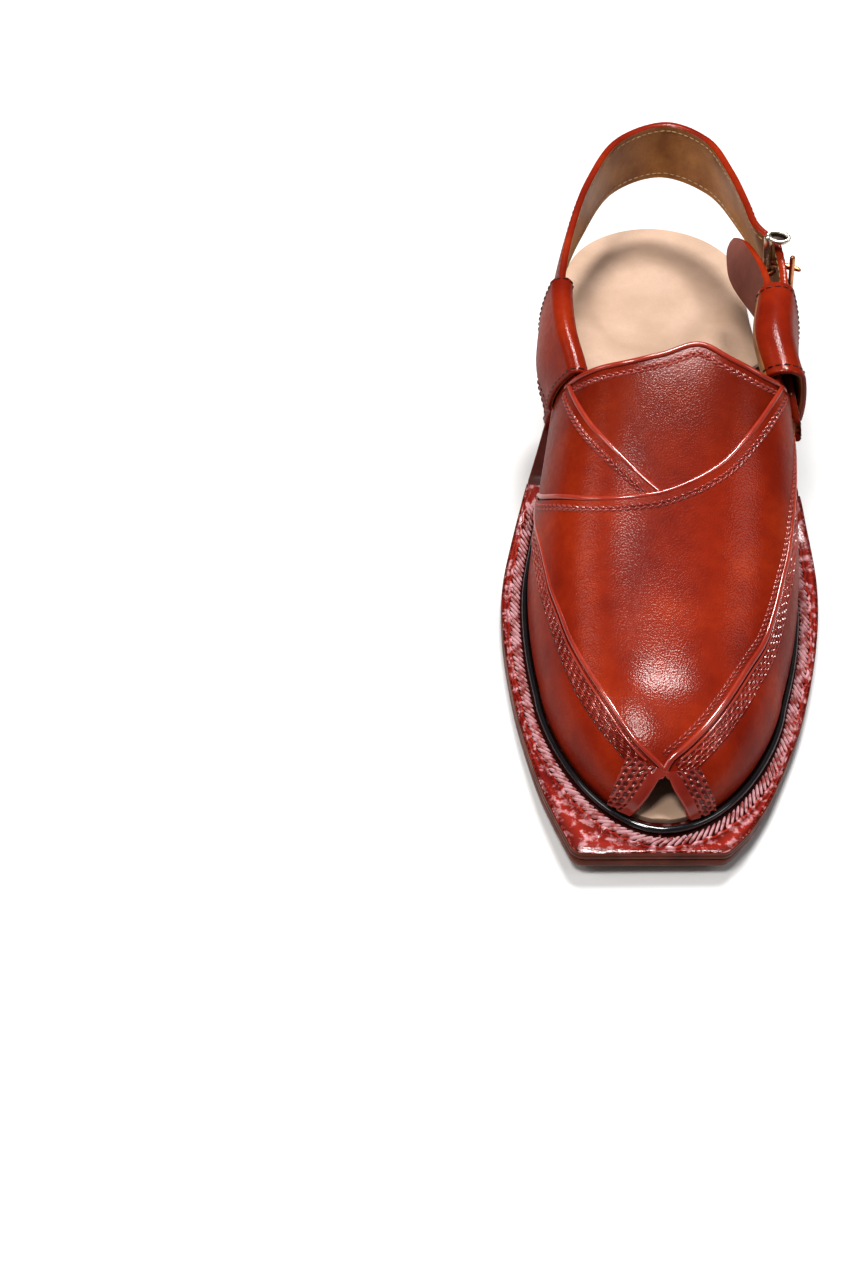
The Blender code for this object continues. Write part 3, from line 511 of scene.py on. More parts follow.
# ---- mesh building -----------------------------------------------------------------------
@dataclass
class Piece:
    """One piece of the shoe while its faces are gathered, in millimetres."""

    name: str
    slot: Slot
    materials: list[Material]
    verts: list[Array] = field(default_factory=list)
    faces: list[tuple[int, ...]] = field(default_factory=list)
    tones: list[int] = field(default_factory=list)
    marks: list[Array] = field(default_factory=list)
    count: int = 0

    def add(self, points: Array, faces: Sequence[Sequence[int]], tone: int = 0,
            mark: Array | float = 0.0) -> None:
        """Add vertices and the faces between them.

        Args:
            points: an array that ends in 3.
            faces: indices into `points`.
            tone: number of the material.
            mark: value of the attribute `pit` at each point.
        """
        points = np.asarray(points, float).reshape(-1, 3)
        self.verts.append(points)
        self.marks.append(np.broadcast_to(np.asarray(mark, float).reshape(-1), (len(points),)))
        self.faces += [tuple(self.count + i for i in face) for face in faces]
        self.tones += [tone] * len(faces)
        self.count += len(points)

    def grid(self, points: Array, tone: int = 0, mark: Array | float = 0.0,
             wrap: tuple[bool, bool] = (False, False), flip: bool = False) -> None:
        """Add a grid of quads.

        Args:
            points: an (m, n, 3) array.
            tone: number of the material.
            mark: value of the attribute `pit`, one number or an (m, n) array.
            wrap: whether the rows and the columns close on themselves.
            flip: turn the faces over.
        """
        m, n = points.shape[:2]
        i, j = np.meshgrid(np.arange(m if wrap[0] else m - 1),
                           np.arange(n if wrap[1] else n - 1), indexing="ij")
        a, b = i * n + j, i * n + (j + 1) % n
        c, d = (i + 1) % m * n + (j + 1) % n, (i + 1) % m * n + j
        quads = np.stack([a, b, c, d][::-1 if flip else 1], -1).reshape(-1, 4)
        self.add(points, quads.tolist(), tone, mark)

    def make(self, smooth: float = 40.0, heal: float = 0.002,
             replaces: Sequence[str] = ()) -> bpy.types.Object:
        """Turn the gathered faces into an object that rides on the shoe.

        Args:
            smooth: edges sharper than this angle in degrees stay crisp.
            heal: points nearer than this in millimetres are joined.
            replaces: CAD nodes that this piece stands for.

        Returns:
            The finished object, at the origin.
        """
        mesh = bpy.data.meshes.new(self.name)
        mesh.from_pydata(place(np.vstack(self.verts)).tolist(), [], self.faces)
        mark = mesh.attributes.new("pit", "FLOAT", "POINT")
        mark.data.foreach_set("value", np.concatenate(self.marks).astype(np.float32))
        for material in self.materials:
            mesh.materials.append(material)
        mesh.polygons.foreach_set("material_index", np.array(self.tones, np.int32))
        return finish(self.name, mesh, self.slot, smooth, heal, replaces)


def finish(name: str, mesh: bpy.types.Mesh, slot: Slot, smooth: float = 40.0,
           heal: float = 0.002, replaces: Sequence[str] = ()) -> bpy.types.Object:
    """Join doubles, turn the faces out, and put a mesh on the shoe's body.

    Args:
        name: name of the piece.
        mesh: its faces, in metres.
        slot: its material slot.
        smooth: edges sharper than this angle in degrees stay crisp.
        heal: points nearer than this in millimetres are joined.
        replaces: CAD nodes that it stands for.

    Returns:
        The finished object.
    """
    work = bmesh.new()
    work.from_mesh(mesh)
    if heal:
        bmesh.ops.remove_doubles(work, verts=work.verts, dist=heal * MM)
        bmesh.ops.dissolve_degenerate(work, edges=work.edges, dist=heal * MM * 0.1)
    bmesh.ops.recalc_face_normals(work, faces=work.faces)
    work.to_mesh(mesh)
    work.free()
    mesh.polygons.foreach_set("use_smooth", [True] * len(mesh.polygons))
    mesh.set_sharp_from_angle(angle=math.radians(smooth))
    obj = bpy.data.objects.new(name, mesh)
    bpy.context.scene.collection.objects.link(obj)
    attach(obj, "root")
    if replaces:
        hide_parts(*replaces)
    LOG.info("%s: %d faces", name, len(mesh.polygons))
    return obj


def shell(piece: Piece, points: Array, wall: float, mark: Array | float = 0.0) -> None:
    """Add a sheet of leather with a wall and softly rolled edges.

    Args:
        piece: gathers the faces; its second material is the lining.
        points: (m, n, 3) outer face; its rows crossed with its columns point inwards.
        wall: thickness.
        mark: value of the attribute `pit` on the outer face.
    """
    roll, steps = 0.35, 4
    normal = -grid_normals(points)
    piece.grid(points, mark=mark)
    piece.grid(points - normal * wall, 1, flip=True)
    for end, beside in GRID_EDGES:
        n = normal[end]
        away = unit(points[end] - points[beside])
        away = unit(away - n * np.sum(away * n, -1, keepdims=True))
        angles = np.linspace(0, math.pi, steps + 1)[:, None, None]
        piece.grid(points[end] + away * np.sin(angles) * roll
                   - n * wall * (1 - np.cos(angles)) / 2)


def tube(piece: Piece, path: Array, radius: float | Array, sides: int, up: Array,
         flat: float = 1.0, tone: int = 0, closed: bool = False) -> None:
    """Add a round or oval bar along a path.

    Args:
        piece: gathers the faces.
        path: (n, 3) points.
        radius: half width, one number or one for each point.
        sides: points round the bar.
        up: direction of the height, one vector or one for each point.
        flat: height of the section as a share of its width.
        tone: material number.
        closed: whether the path closes on itself.
    """
    step = np.roll(path, -1, 0) - np.roll(path, 1, 0) if closed else np.gradient(path, axis=0)
    step = unit(step)
    lift = np.broadcast_to(np.asarray(up, float), path.shape)
    lift = unit(lift - step * np.sum(lift * step, -1, keepdims=True))
    wide = np.cross(lift, step)
    r = np.broadcast_to(np.asarray(radius, float), (len(path),))[:, None]
    a = 2 * math.pi * np.arange(sides)[:, None] / sides
    around = wide[:, None] * np.cos(a) + lift[:, None] * np.sin(a) * flat
    rings = path[:, None] + around * r[:, None]

    def cap(end: int, sign: int) -> list[Array]:
        """Three rings that round off an end; `sign` is the way out of it."""
        return [path[end] + (rings[end] - path[end]) * share
                + sign * step[end] * r[end] * out * min(flat, 1.0)
                for share, out in ((0.8, 0.5), (0.4, 0.85), (0.0, 0.95))]

    if not closed:
        rings = np.concatenate([cap(0, -1)[::-1], rings, cap(-1, 1)])
    piece.grid(rings, tone, wrap=(closed, True))


@dataclass
class Scatter:
    """Sets copies of a small shape along the shoe with Geometry Nodes."""

    name: str
    slot: Slot
    material: Material
    shape: Shape
    jitter: float = 0.06
    seed: int = 7
    spots: list[Array] = field(default_factory=list)
    turns: list[Array] = field(default_factory=list)

    def add(self, points: Array, along: Array, normals: Array, lean: float = 0.0) -> None:
        """Add places for the shape.

        Args:
            points: (n, 3) middles, in millimetres.
            along: direction of the shape's X axis at each.
            normals: direction of its Z axis.
            lean: turn about Z in degrees.
        """
        z = unit(normals)
        x = unit(along - z * np.sum(along * z, -1, keepdims=True))
        y = np.cross(z, x)
        c, s = math.cos(math.radians(lean)), math.sin(math.radians(lean))
        x, y = x * c + y * s, y * c - x * s
        for i in range(len(points)):
            turn = Matrix((x[i], y[i], z[i])).transposed()
            self.turns.append(np.array(turn.to_euler()))
        self.spots.append(np.asarray(points, float))

    def tree(self) -> bpy.types.NodeTree:
        """Build the node tree, with named inputs for its shape and its unevenness.

        Returns:
            The tree.
        """
        tree = bpy.data.node_groups.new(self.name + "_nodes", "GeometryNodeTree")
        for title, kind in (("Geometry", "Geometry"), ("Shape", "Object"),
                            ("Unevenness", "Float"), ("Seed", "Int"), ("Finish", "Material")):
            tree.interface.new_socket(title, in_out="INPUT", socket_type="NodeSocket" + kind)
        tree.interface.new_socket("Geometry", in_out="OUTPUT", socket_type="NodeSocketGeometry")
        new, link = partial(add_node, tree), tree.links.new
        enter = new("NodeGroupInput").outputs
        spread = new("FunctionNodeRandomValue", data_type="FLOAT")
        limits = [s for s in spread.inputs if s.enabled]
        for limit, operation in zip(limits, ("SUBTRACT", "ADD")):
            from_one = new("ShaderNodeMath", operation=operation)
            from_one.inputs[0].default_value = 1.0
            link(enter["Unevenness"], from_one.inputs[1])
            link(from_one.outputs[0], limit)
        link(enter["Seed"], spread.inputs["Seed"])
        info, euler = new("GeometryNodeObjectInfo"), new("FunctionNodeEulerToRotation")
        link(enter["Shape"], info.inputs["Object"])
        turn = new("GeometryNodeInputNamedAttribute", data_type="FLOAT_VECTOR")
        turn.inputs["Name"].default_value = "turn"
        link(turn.outputs["Attribute"], euler.inputs[0])
        copies = new("GeometryNodeInstanceOnPoints")
        link(enter["Geometry"], copies.inputs["Points"])
        link(info.outputs["Geometry"], copies.inputs["Instance"])
        link(euler.outputs[0], copies.inputs["Rotation"])
        link(next(s for s in spread.outputs if s.enabled), copies.inputs["Scale"])
        real, paint = new("GeometryNodeRealizeInstances"), new("GeometryNodeSetMaterial")
        link(copies.outputs["Instances"], real.inputs["Geometry"])
        link(real.outputs["Geometry"], paint.inputs["Geometry"])
        link(enter["Finish"], paint.inputs["Material"])
        link(paint.outputs["Geometry"], new("NodeGroupOutput").inputs["Geometry"])
        return tree

    def make(self) -> bpy.types.Object:
        """Run the tree and keep its result as one plain mesh.

        Returns:
            The finished object.
        """
        link = bpy.context.scene.collection.objects.link
        verts, faces = self.shape
        stamp_mesh = bpy.data.meshes.new(self.name + "_shape")
        stamp_mesh.from_pydata((np.asarray(verts) * MM).tolist(), [], faces)
        stamp = bpy.data.objects.new(self.name + "_shape", stamp_mesh)
        seats_mesh = bpy.data.meshes.new(self.name + "_seats")
        seats_mesh.from_pydata(place(np.vstack(self.spots)).tolist(), [], [])
        layer = seats_mesh.attributes.new("turn", "FLOAT_VECTOR", "POINT")
        layer.data.foreach_set("vector", np.array(self.turns, np.float32).ravel())
        seats = bpy.data.objects.new(self.name + "_seats", seats_mesh)
        link(stamp)
        link(seats)
        mod = seats.modifiers.new("Scatter", "NODES")
        tree = self.tree()
        mod.node_group = tree
        values = {"Shape": stamp, "Unevenness": self.jitter, "Seed": self.seed,
                  "Finish": self.material}
        for item in tree.interface.items_tree:
            if item.in_out == "INPUT" and item.name in values:
                mod[item.identifier] = values[item.name]
        graph = bpy.context.evaluated_depsgraph_get()
        mesh = bpy.data.meshes.new_from_object(seats.evaluated_get(graph))
        seats.modifiers.remove(mod)
        for obj in (seats, stamp):
            bpy.data.objects.remove(obj)
        mesh.name = self.name
        if not mesh.materials:
            mesh.materials.append(self.material)
        return finish(self.name, mesh, self.slot, 50.0, heal=0.0)


def grain_of_rice(length: float, width: float, height: float,
                  point: float = 0.6) -> Shape:
    """Make the shape of one stitch, a low dome that narrows to its ends.

    Args:
        length: length along X.
        width: width along Y.
        height: height of the dome.
        point: width near the ends, as a share.

    Returns:
        Its points and its faces.
    """
    rings = [(-0.5, 0.18), (-0.38, point), (-0.15, 1.0), (0.15, 1.0), (0.38, point), (0.5, 0.18)]
    verts, faces = [], []
    sides = 5
    for x, r in rings:
        for k in range(sides):
            a = math.pi * k / (sides - 1)
            verts.append((x * length, -math.cos(a) * width / 2 * r,
                          math.sin(a) * height * (0.4 + 0.6 * r) - 0.12))
    for i in range(len(rings) - 1):
        for k in range(sides - 1):
            a = i * sides + k
            faces.append((a, a + sides, a + sides + 1, a + 1))
        faces.append((i * sides, i * sides + sides - 1, (i + 2) * sides - 1, (i + 1) * sides))
    faces.append(tuple(range(sides)))
    faces.append(tuple(len(verts) - 1 - k for k in range(sides)))
    return np.array(verts), faces


# ---- sole --------------------------------------------------------------------------------
class Edge(NamedTuple):
    """Outline of the sole at one distance along it."""

    y: float
    medial: float
    lateral: float


SOLE_EDGE = [
    Edge(-134, -31.5, 27.8), Edge(-122, -36.5, 34.6), Edge(-108, -41.0, 40.6),
    Edge(-92, -45.4, 46.6), Edge(-75, -49.0, 51.3), Edge(-56, -52.0, 55.2),
    Edge(-36, -53.3, 57.7), Edge(-14, -51.4, 58.0), Edge(6, -48.0, 55.4),
    Edge(24, -43.6, 50.8), Edge(44, -39.2, 45.4), Edge(64, -36.4, 41.0),
    Edge(84, -35.7, 37.8), Edge(110, -36.0, 36.0),
]
medial_edge = through(SOLE_EDGE, "y", "medial")
lateral_edge = through(SOLE_EDGE, "y", "lateral")


@dataclass
class SoleForm:
    """Shape of the bottom: outline, toe spring, shank and heel height."""

    toe_medial: tuple[float, float] = (-26.0, -146.0)
    toe_lateral: tuple[float, float] = (20.8, -142.3)
    toe_corner: float = 5.0
    seat_y: float = 110.0
    seat_radius: float = 36.0
    half_length: float = 146.0
    toe_spring: float = 5.0
    spring_from: float = -70.0
    shank_from: float = -15.0
    breast_y: float = 66.0
    heel_height: float = 25.0
    seat_gain: float = 1.2
    outsole: float = 3.9
    midsole: float = 4.1

    def tread(self, y: Array) -> Array:
        """Height of the outsole's underside.

        Args:
            y: distance along the shoe.

        Returns:
            Height over the floor.
        """
        y = np.asarray(y, float)
        front = (self.spring_from - y) / (self.half_length + self.spring_from)
        spring = self.toe_spring * np.clip(front, 0, 2) ** 1.6
        u = np.clip((y - self.shank_from) / (self.breast_y - self.shank_from), 0, 1)
        climb = (self.heel_height - self.seat_gain) * (3 * u ** 2 - 2 * u ** 3)
        rear = (y - self.breast_y) / (self.half_length - self.breast_y)
        seat = self.seat_gain * np.clip(rear, 0, 1)
        return spring + climb + seat

    def outsole_top(self, y: Array) -> Array:
        """Height of the joint between outsole and midsole."""
        return self.tread(y) + self.outsole

    def midsole_top(self, y: Array) -> Array:
        """Height of the midsole's face."""
        return self.outsole_top(y) + GAP + self.midsole

    def corner(self, a: Array, tip: Array, b: Array) -> Array:
        """Round the corner `tip` between the directions to `a` and `b`.

        Args:
            a: point before the corner.
            tip: the corner.
            b: point after it.

        Returns:
            Points of the arc, from the side of `a`.
        """
        da, db = unit(a - tip), unit(b - tip)
        half = math.acos(float(np.clip(da @ db, -1, 1))) / 2
        mid = tip + unit(da + db) * self.toe_corner / math.sin(half)
        start, end = (tip + d * self.toe_corner / math.tan(half) for d in (da, db))
        u = np.linspace(0, 1, 11)[:, None]
        return mid + unit((1 - u) * (start - mid) + u * (end - mid)) * self.toe_corner

    def sides(self, inset: float = 0.0, behind: float | None = None) -> tuple[Array, Array]:
        """Give the outline as two matched sides from the toe to the back of the heel.

        Args:
            inset: distance to stay inside the outline.
            behind: with this, only what lies behind that line.

        Returns:
            Inner side and outer side, each (n, 2), row by row across from one another.
        """
        front = -134.0 if behind is None else behind
        ys = np.linspace(front, 104.0, 110 if behind is None else 24)
        left, right = (np.stack([edge(ys), ys], 1) for edge in (medial_edge, lateral_edge))
        if behind is None:
            tm, tl = np.array(self.toe_medial), np.array(self.toe_lateral)
            left = np.vstack([self.corner(tl, tm, left[0]), left])
            right = np.vstack([self.corner(right[0], tl, tm)[::-1], right])
        a = np.linspace(0, math.pi / 2, 37)[1:, None]
        seat = self.seat_radius * np.hstack([np.cos(a), np.sin(a)]) + (0.0, self.seat_y)
        left, right = np.vstack([left, seat * (-1, 1)]), np.vstack([right, seat])
        if inset:
            moved = inward(np.vstack([left, right[::-1][1:]]), -inset)
            left = moved[:len(left)]
            right = np.vstack([moved[len(left):][::-1], left[-1:]])
        return left, right


FORM = SoleForm()


def plate(piece: Piece, sides: Callable[[float], tuple[Array, Array]],
          low: Callable[[Array], Array], high: Callable[[Array], Array], edge: float,
          columns: int, tones: tuple[int, int, int] = (0, 0, 0),
          relief: Callable[[Array, Array], Array] | None = None,
          mark: Callable[[Array, Array], Array] | None = None,
          bulge: float = 0.0, hollow: float = 0.0) -> None:
    """Add a layer of the sole: two faces and a side with softened corners.

    Args:
        piece: gathers the faces.
        sides: gives the two matched sides for an inset.
        low: height of the underside along the shoe.
        high: height of the upper face.
        edge: size of the softened corners.
        columns: faces across.
        tones: material numbers of the underside, the side and the upper face.
        relief: extra height of the upper face at (x, y).
        mark: value of the attribute `pit` on the faces at (x, y).
        bulge: how far the middle of the side stands out.
        hollow: depth of the curve cut into the front edge.
    """
    u = np.linspace(0, 1, columns + 1)[None, :, None]

    def face(inset: float, level: Callable[[Array], Array], lift: float,
             extra: Callable[[Array, Array], Array] | None = None) -> Array:
        """A face from side to side, drawn in by `inset`, at a level with extra relief.

        Args:
            inset: distance inside the outline.
            level: height along the shoe.
            lift: added to the level.
            extra: relief at (x, y).

        Returns:
            Its grid of points.
        """
        left, right = sides(inset)
        flat = left[:, None] * (1 - u) + right[:, None] * u
        if hollow:
            fade = np.clip(1 - (flat[..., 1] - flat[:1, :, 1]) / 40.0, 0, 1)
            flat[..., 1] += hollow * np.sin(math.pi * u[..., 0]) ** 0.8 * fade
        z = level(flat[..., 1]) + lift
        return raised(flat, z + extra(flat[..., 0], flat[..., 1]) if extra else z)

    def ring(grid: Array) -> Array:
        """The rim of a face."""
        return np.vstack([grid[:, 0], grid[::-1, -1][1:], grid[0, ::-1][1:-1]])

    top, bottom = face(edge, high, 0.0, relief), face(edge, low, 0.0)
    for grid, tone in ((top, tones[2]), (bottom, tones[0])):
        piece.grid(grid, tone, mark(grid[..., 0], grid[..., 1]) if mark else 0.0,
                   flip=grid is bottom)

    levels = [ring(bottom)]
    for inset, level, lift in ((edge * 0.3, low, edge * 0.3), (0.0, low, edge)):
        levels.append(ring(face(inset, level, lift)))
    for share in (0.3, 0.5, 0.7):
        out = -bulge * math.sin(math.pi * share)
        a, b = ring(face(out, low, 0.0)), ring(face(out, high, 0.0))
        levels.append(a * (1 - share) + b * share)
    for inset, level, lift in ((0.0, high, -edge), (edge * 0.3, high, -edge * 0.3)):
        levels.append(ring(face(inset, level, lift)))
    levels.append(ring(top))
    piece.grid(np.array(levels), tones[1], wrap=(False, True))


# ---- the last ----------------------------------------------------------------------------
class Form(NamedTuple):
    """Cross-section of the last at one distance along it."""

    y: float
    medial: float
    lateral: float
    ridge_x: float
    ridge_z: float
    power: float


class Hem(NamedTuple):
    """Edge of the vamp: share of the half section, and distance along the shoe."""

    t: float
    y: float


LAST_FORM = [
    Form(-100, -34.6, 36.4, 0.0, 39.0, 2.45), Form(-85, -38.5, 40.5, -0.4, 44.0, 2.50),
    Form(-60, -43.0, 46.2, -0.4, 53.2, 2.60), Form(-39, -44.4, 48.4, 0.2, 62.6, 2.70),
    Form(-15, -42.6, 47.6, 1.6, 74.0, 3.00), Form(8, -39.8, 45.4, 3.0, 84.0, 3.30),
    Form(30, -38.4, 42.8, 3.4, 91.0, 3.30),
]
REAR_HEM = [
    Hem(-1.0, 9.0), Hem(-0.92, 1.5), Hem(-0.84, -8.0), Hem(-0.74, 3.5), Hem(-0.64, 14.0),
    Hem(-0.52, 10.5), Hem(-0.4, 6.5), Hem(-0.3, 4.4), Hem(-0.19, 3.6), Hem(-0.07, 5.8),
    Hem(0.06, 10.0), Hem(0.17, 5.8), Hem(0.29, 4.0), Hem(0.4, 7.0), Hem(0.52, 11.0),
    Hem(0.64, 14.0), Hem(0.74, 3.5), Hem(0.84, -8.0), Hem(0.92, 1.5), Hem(1.0, 9.0),
]
form_at = {name: through(LAST_FORM, "y", name) for name in Form._fields[1:]}
rear_hem = through(REAR_HEM, "t", "y")


@dataclass
class Last:
    """Outer face of the vamp, worked out from the sections of the last."""

    wall: float = 2.4
    tuck: float = 1.3
    tuck_reach: float = 7.0
    toe_tip: float = -134.5
    plan_from: float = -85.0
    plan_power: float = 1.3
    dome_from: float = -100.0
    dome_power: float = 1.75
    dome_ease: float = 5.0
    peep_apex: tuple[float, float] = (-126.0, 30.0)
    peep_half: float = 8.6
    peep_foot: tuple[float, float] = (-132.8, 17.0)

    def arc(self, y: float, side: int, count: int = 72) -> tuple[Array, Array, Array]:
        """Half of the section at `y` from the ridge down to the welt.

        Args:
            y: distance along the shoe.
            side: -1 for the inner half, 1 for the outer one.
            count: number of points.

        Returns:
            Its x, its z and its running length.
        """
        wide = max(y, self.plan_from)
        past = (y - self.dome_from) / self.dome_ease
        back = self.dome_from + self.dome_ease * math.log1p(math.exp(past))
        u = min(max((self.plan_from - y) / (self.plan_from - self.toe_tip), 0.0), 0.9995)
        plan = math.sqrt(1 - u ** self.plan_power)
        v = min(max((self.dome_from - y) / (self.dome_from - self.toe_tip), 0.0), 0.9995)
        dome = (1 - v ** self.dome_power) ** (1 / self.dome_power)
        foot = float(FORM.midsole_top(y)) + GAP
        ridge = foot + (float(form_at["ridge_z"](back)) - foot) * dome
        ridge_x = float(form_at["ridge_x"](back)) * plan
        edge = float(form_at["medial" if side < 0 else "lateral"](wide)) * plan
        power = float(form_at["power"](back))
        a = np.linspace(0, math.pi / 2, count)
        x = ridge_x + (edge - ridge_x) * np.sin(a) ** (2 / power)
        z = foot + (ridge - foot) * np.clip(np.cos(a), 0, 1) ** (2 / power)
        reach = min(self.tuck_reach, 0.4 * (ridge - foot))
        x = x - np.sign(edge) * self.tuck * np.clip(1 - (z - foot) / reach, 0, 1) ** 2
        return x, z, np.concatenate([[0], np.cumsum(np.hypot(np.diff(x), np.diff(z)))])

    def point(self, t: float, y: float) -> Array:
        """Point of the face at the share `t` of the half section at `y`."""
        x, z, run = self.arc(y, -1 if t < 0 else 1)
        s = abs(t) * run[-1]
        return np.array([np.interp(s, run, x), y, np.interp(s, run, z)])

    def front_hem(self, t: float) -> float:
        """Edge of the toe opening: a pointed arch between the two toe bands.

        Args:
            t: share of the half section.

        Returns:
            Distance along the shoe.
        """
        low, high = self.peep_foot[0], self.peep_apex[0]
        if abs(t) < 1e-6:
            return high
        for _ in range(18):
            y = (low + high) / 2
            x, _, z = self.point(t, y)
            drop = max(0.0, self.peep_apex[1] - z) / (self.peep_apex[1] - self.peep_foot[1])
            if abs(x) > self.peep_half * drop ** 0.85:
                high = y
            else:
                low = y
        return high

    def feather(self, step: float = 1.5) -> Array:
        """Foot of the vamp in plan, from the inner waist round the toe to the outer one.

        Args:
            step: distance between points along the shoe.

        Returns:
            An (n, 2) line.
        """
        ys = np.concatenate([np.arange(12.0, -118, -step), np.arange(-118, -131, -0.5),
                             self.toe_tip + np.linspace(1.88, 0.044, 22) ** 2])
        inner, outer = ([(self.arc(y, side)[0][-1], y) for y in ys] for side in (-1, 1))
        return np.array(inner + [(0.0, self.toe_tip)] + outer[::-1])


LAST = Last()


@dataclass
class Face:
    """The vamp's outer face as a fine grid that overlays are laid on."""

    columns: int = 160
    rows: int = 120

    def __post_init__(self) -> None:
        """Work out the grid, its normals and its search tree."""
        self.t = np.linspace(-1, 1, self.columns + 1)
        front = [LAST.front_hem(t) for t in self.t]
        rear = [float(rear_hem(t)) for t in self.t]
        u = np.linspace(0, 1, self.rows + 1) ** 1.4
        self.points = np.array([[LAST.point(t, a + (b - a) * v)
                                 for t, a, b in zip(self.t, front, rear)] for v in u])
        self.normals = grid_normals(self.points)
        m, n = self.points.shape[:2]
        self.quads = [(i * n + j, i * n + j + 1, (i + 1) * n + j + 1, (i + 1) * n + j)
                      for i in range(m - 1) for j in range(n - 1)]
        flat = [Vector(p) for p in self.points.reshape(-1, 3)]
        self.tree = BVHTree.FromPolygons(flat, self.quads)

    def drop(self, points: Array, height: float | Array = 0.0) -> tuple[Array, Array]:
        """Lay points on the face.

        Args:
            points: an array of points near the face, ending in 3.
            height: how far above the face they come to lie.

        Returns:
            The laid points and the face's normals there.
        """
        shape = points.shape
        flat = points.reshape(-1, 3)
        verts, normals = self.points.reshape(-1, 3), self.normals.reshape(-1, 3)
        out, n_out = np.empty_like(flat), np.empty_like(flat)
        for i, p in enumerate(flat):
            spot, _, index, _ = self.tree.find_nearest(Vector(p))
            corners = list(self.quads[index])
            gap = np.linalg.norm(verts[corners] - np.array(spot), axis=1) + 0.02
            weight = 1.0 / gap ** 2
            out[i] = spot
            n_out[i] = (normals[corners] * weight[:, None]).sum(0) / weight.sum()
        n_out = unit(n_out)
        lift = np.broadcast_to(np.asarray(height, float), shape[:-1]).reshape(-1, 1)
        return (out + n_out * lift).reshape(shape), n_out.reshape(shape)

    def hem(self, start: float, end: float, count: int) -> Array:
        """Points of the vamp's rear edge between two shares of the section."""
        return np.array([LAST.point(t, float(rear_hem(t))) for t in np.linspace(start, end, count)])


# ---- relief patterns, in millimetres along and across a band ------------------------------
def pits(s: Array, w: Array, length: float, width: float) -> tuple[Array, Array]:
    """Rows of pressed pits, each row half a pit on from the last.

    Args:
        s: distance along the band.
        w: distance across it.
        length: distance between pits along the band.
        width: distance between rows.

    Returns:
        Height, from 0 at the bottom of a pit to 1, and painted shade in the pits from 0 to 1.
    """
    best = np.full(s.shape, 9.0)
    base = np.floor(w / width)
    for k in (-1, 0, 1):
        row = base + k
        shift = 0.5 * length * (row % 2) + 0.1 * length * np.sin(row * 12.9898 + 1.3)
        cell = np.round((s - shift) / length)
        ds = s - shift - (cell + 0.07 * np.sin(cell * 3.7 + row * 5.1)) * length
        dw = w - (row + 0.5 + 0.08 * np.sin(cell * 7.7 + row * 3.1)) * width
        size = 1.0 + 0.14 * np.sin(cell * 5.3 + row * 9.7)
        near = (np.abs(ds / (0.52 * length)) ** 2.4 + np.abs(dw / (0.5 * width)) ** 2.4)
        best = np.minimum(best, near ** (1 / 2.4) / size)
    # The second value paints shade into the pits.
    return soft((best - 0.56) / 0.34), 1.0 - soft((best - 0.54) / 0.32)


def braid(s: Array, w: Array, pitch: float, half: float) -> tuple[Array, Array]:
    """Two rows of slanted strands that meet in the middle, like a plait.

    Args:
        s: distance along the seam.
        w: distance from its middle.
        pitch: length of one strand's repeat.
        half: half of the plait's width.

    Returns:
        Height from 0 to 1 and painted shade between the strands from 0 to 1.
    """
    v = w / half
    row = np.where(v > 0, 1.0, -1.0)
    inner = np.abs(v)
    phase = s / pitch + 0.25 * row + 0.42 * inner
    wave = phase - np.floor(phase)
    strand = np.sin(math.pi * wave) ** 0.8
    lens = np.clip(np.sin(math.pi * np.clip(inner, 0, 1)), 0, 1) ** 0.5
    height = np.clip(strand * (0.35 + 0.65 * lens), 0, 1)
    height = height * soft((1.12 - inner) / 0.2)
    # Painted shade in the low places between the strands.
    dark = soft((0.62 - height) / 0.4) * soft((1.1 - inner) / 0.25)
    return height, dark


# ---- upper -------------------------------------------------------------------------------
# Places near the face that the edges of the panels and bands pass.
CROSS_TOP = [
    (-43.4, -8.5, 29), (-42.6, -16, 37), (-40.5, -24.5, 44.5), (-33, -34, 54), (-25, -38.5, 58),
    (-18, -40, 60), (-10, -40, 61.5), (-3, -39, 62.5), (4, -36.5, 64), (11, -32.5, 65),
    (18, -27, 67), (23.5, -20, 69), (28, -12.5, 70), (33, -3, 71), (38.5, 11.5, 69),
]
MEDIAL_TOP = [
    (-35.5, 10.5, 67), (-30.5, -4.5, 68.5), (-26, -14, 68.5), (-21.5, -20.5, 68),
    (-16.5, -26.5, 67), (-12, -31, 65.5), (-7.5, -35, 64), (-2.5, -39, 62.5),
]
CROSS_MEDIAL = [
    (-43.6, -9, 27), (-43, -18, 31.5), (-42, -30, 36.5), (-40.2, -42, 39.5), (-38.2, -51, 39.5),
    (-36, -61, 38.5), (-33, -70, 38), (-29.5, -80.5, 37), (-24, -92.5, 36.5), (-18.5, -102.5, 36),
    (-13.5, -111.5, 35.5), (-8.5, -118, 33.5), (-3, -122.5, 31), (0, -124.8, 29.3),
]
CROSS_LATERAL = [
    (43.4, 13.8, 51), (43.5, 4, 51.3), (43.4, -8, 51), (42.9, -17, 50), (42, -26, 48.8),
    (41, -36, 46.5), (39.6, -46.5, 44), (37.4, -56, 42.2), (34.5, -68, 39.6), (31, -79, 37.8),
    (25.5, -89.5, 37.5), (19.5, -100.5, 36.8), (12.5, -111.5, 35.6), (6, -118.5, 33.2),
    (1.8, -122, 31.4), (0, -124.8, 29.3),
]
TOOLED_MEDIAL = [
    (-44.4, -10, 21), (-44.2, -20, 25), (-43.6, -32, 29), (-42.5, -43, 31.5), (-40.8, -54, 32.5),
    (-38, -65, 33), (-33.5, -81, 32.5), (-28, -96, 32), (-21, -110, 32), (-15.5, -117, 31),
    (-11.5, -121.5, 29.5),
]
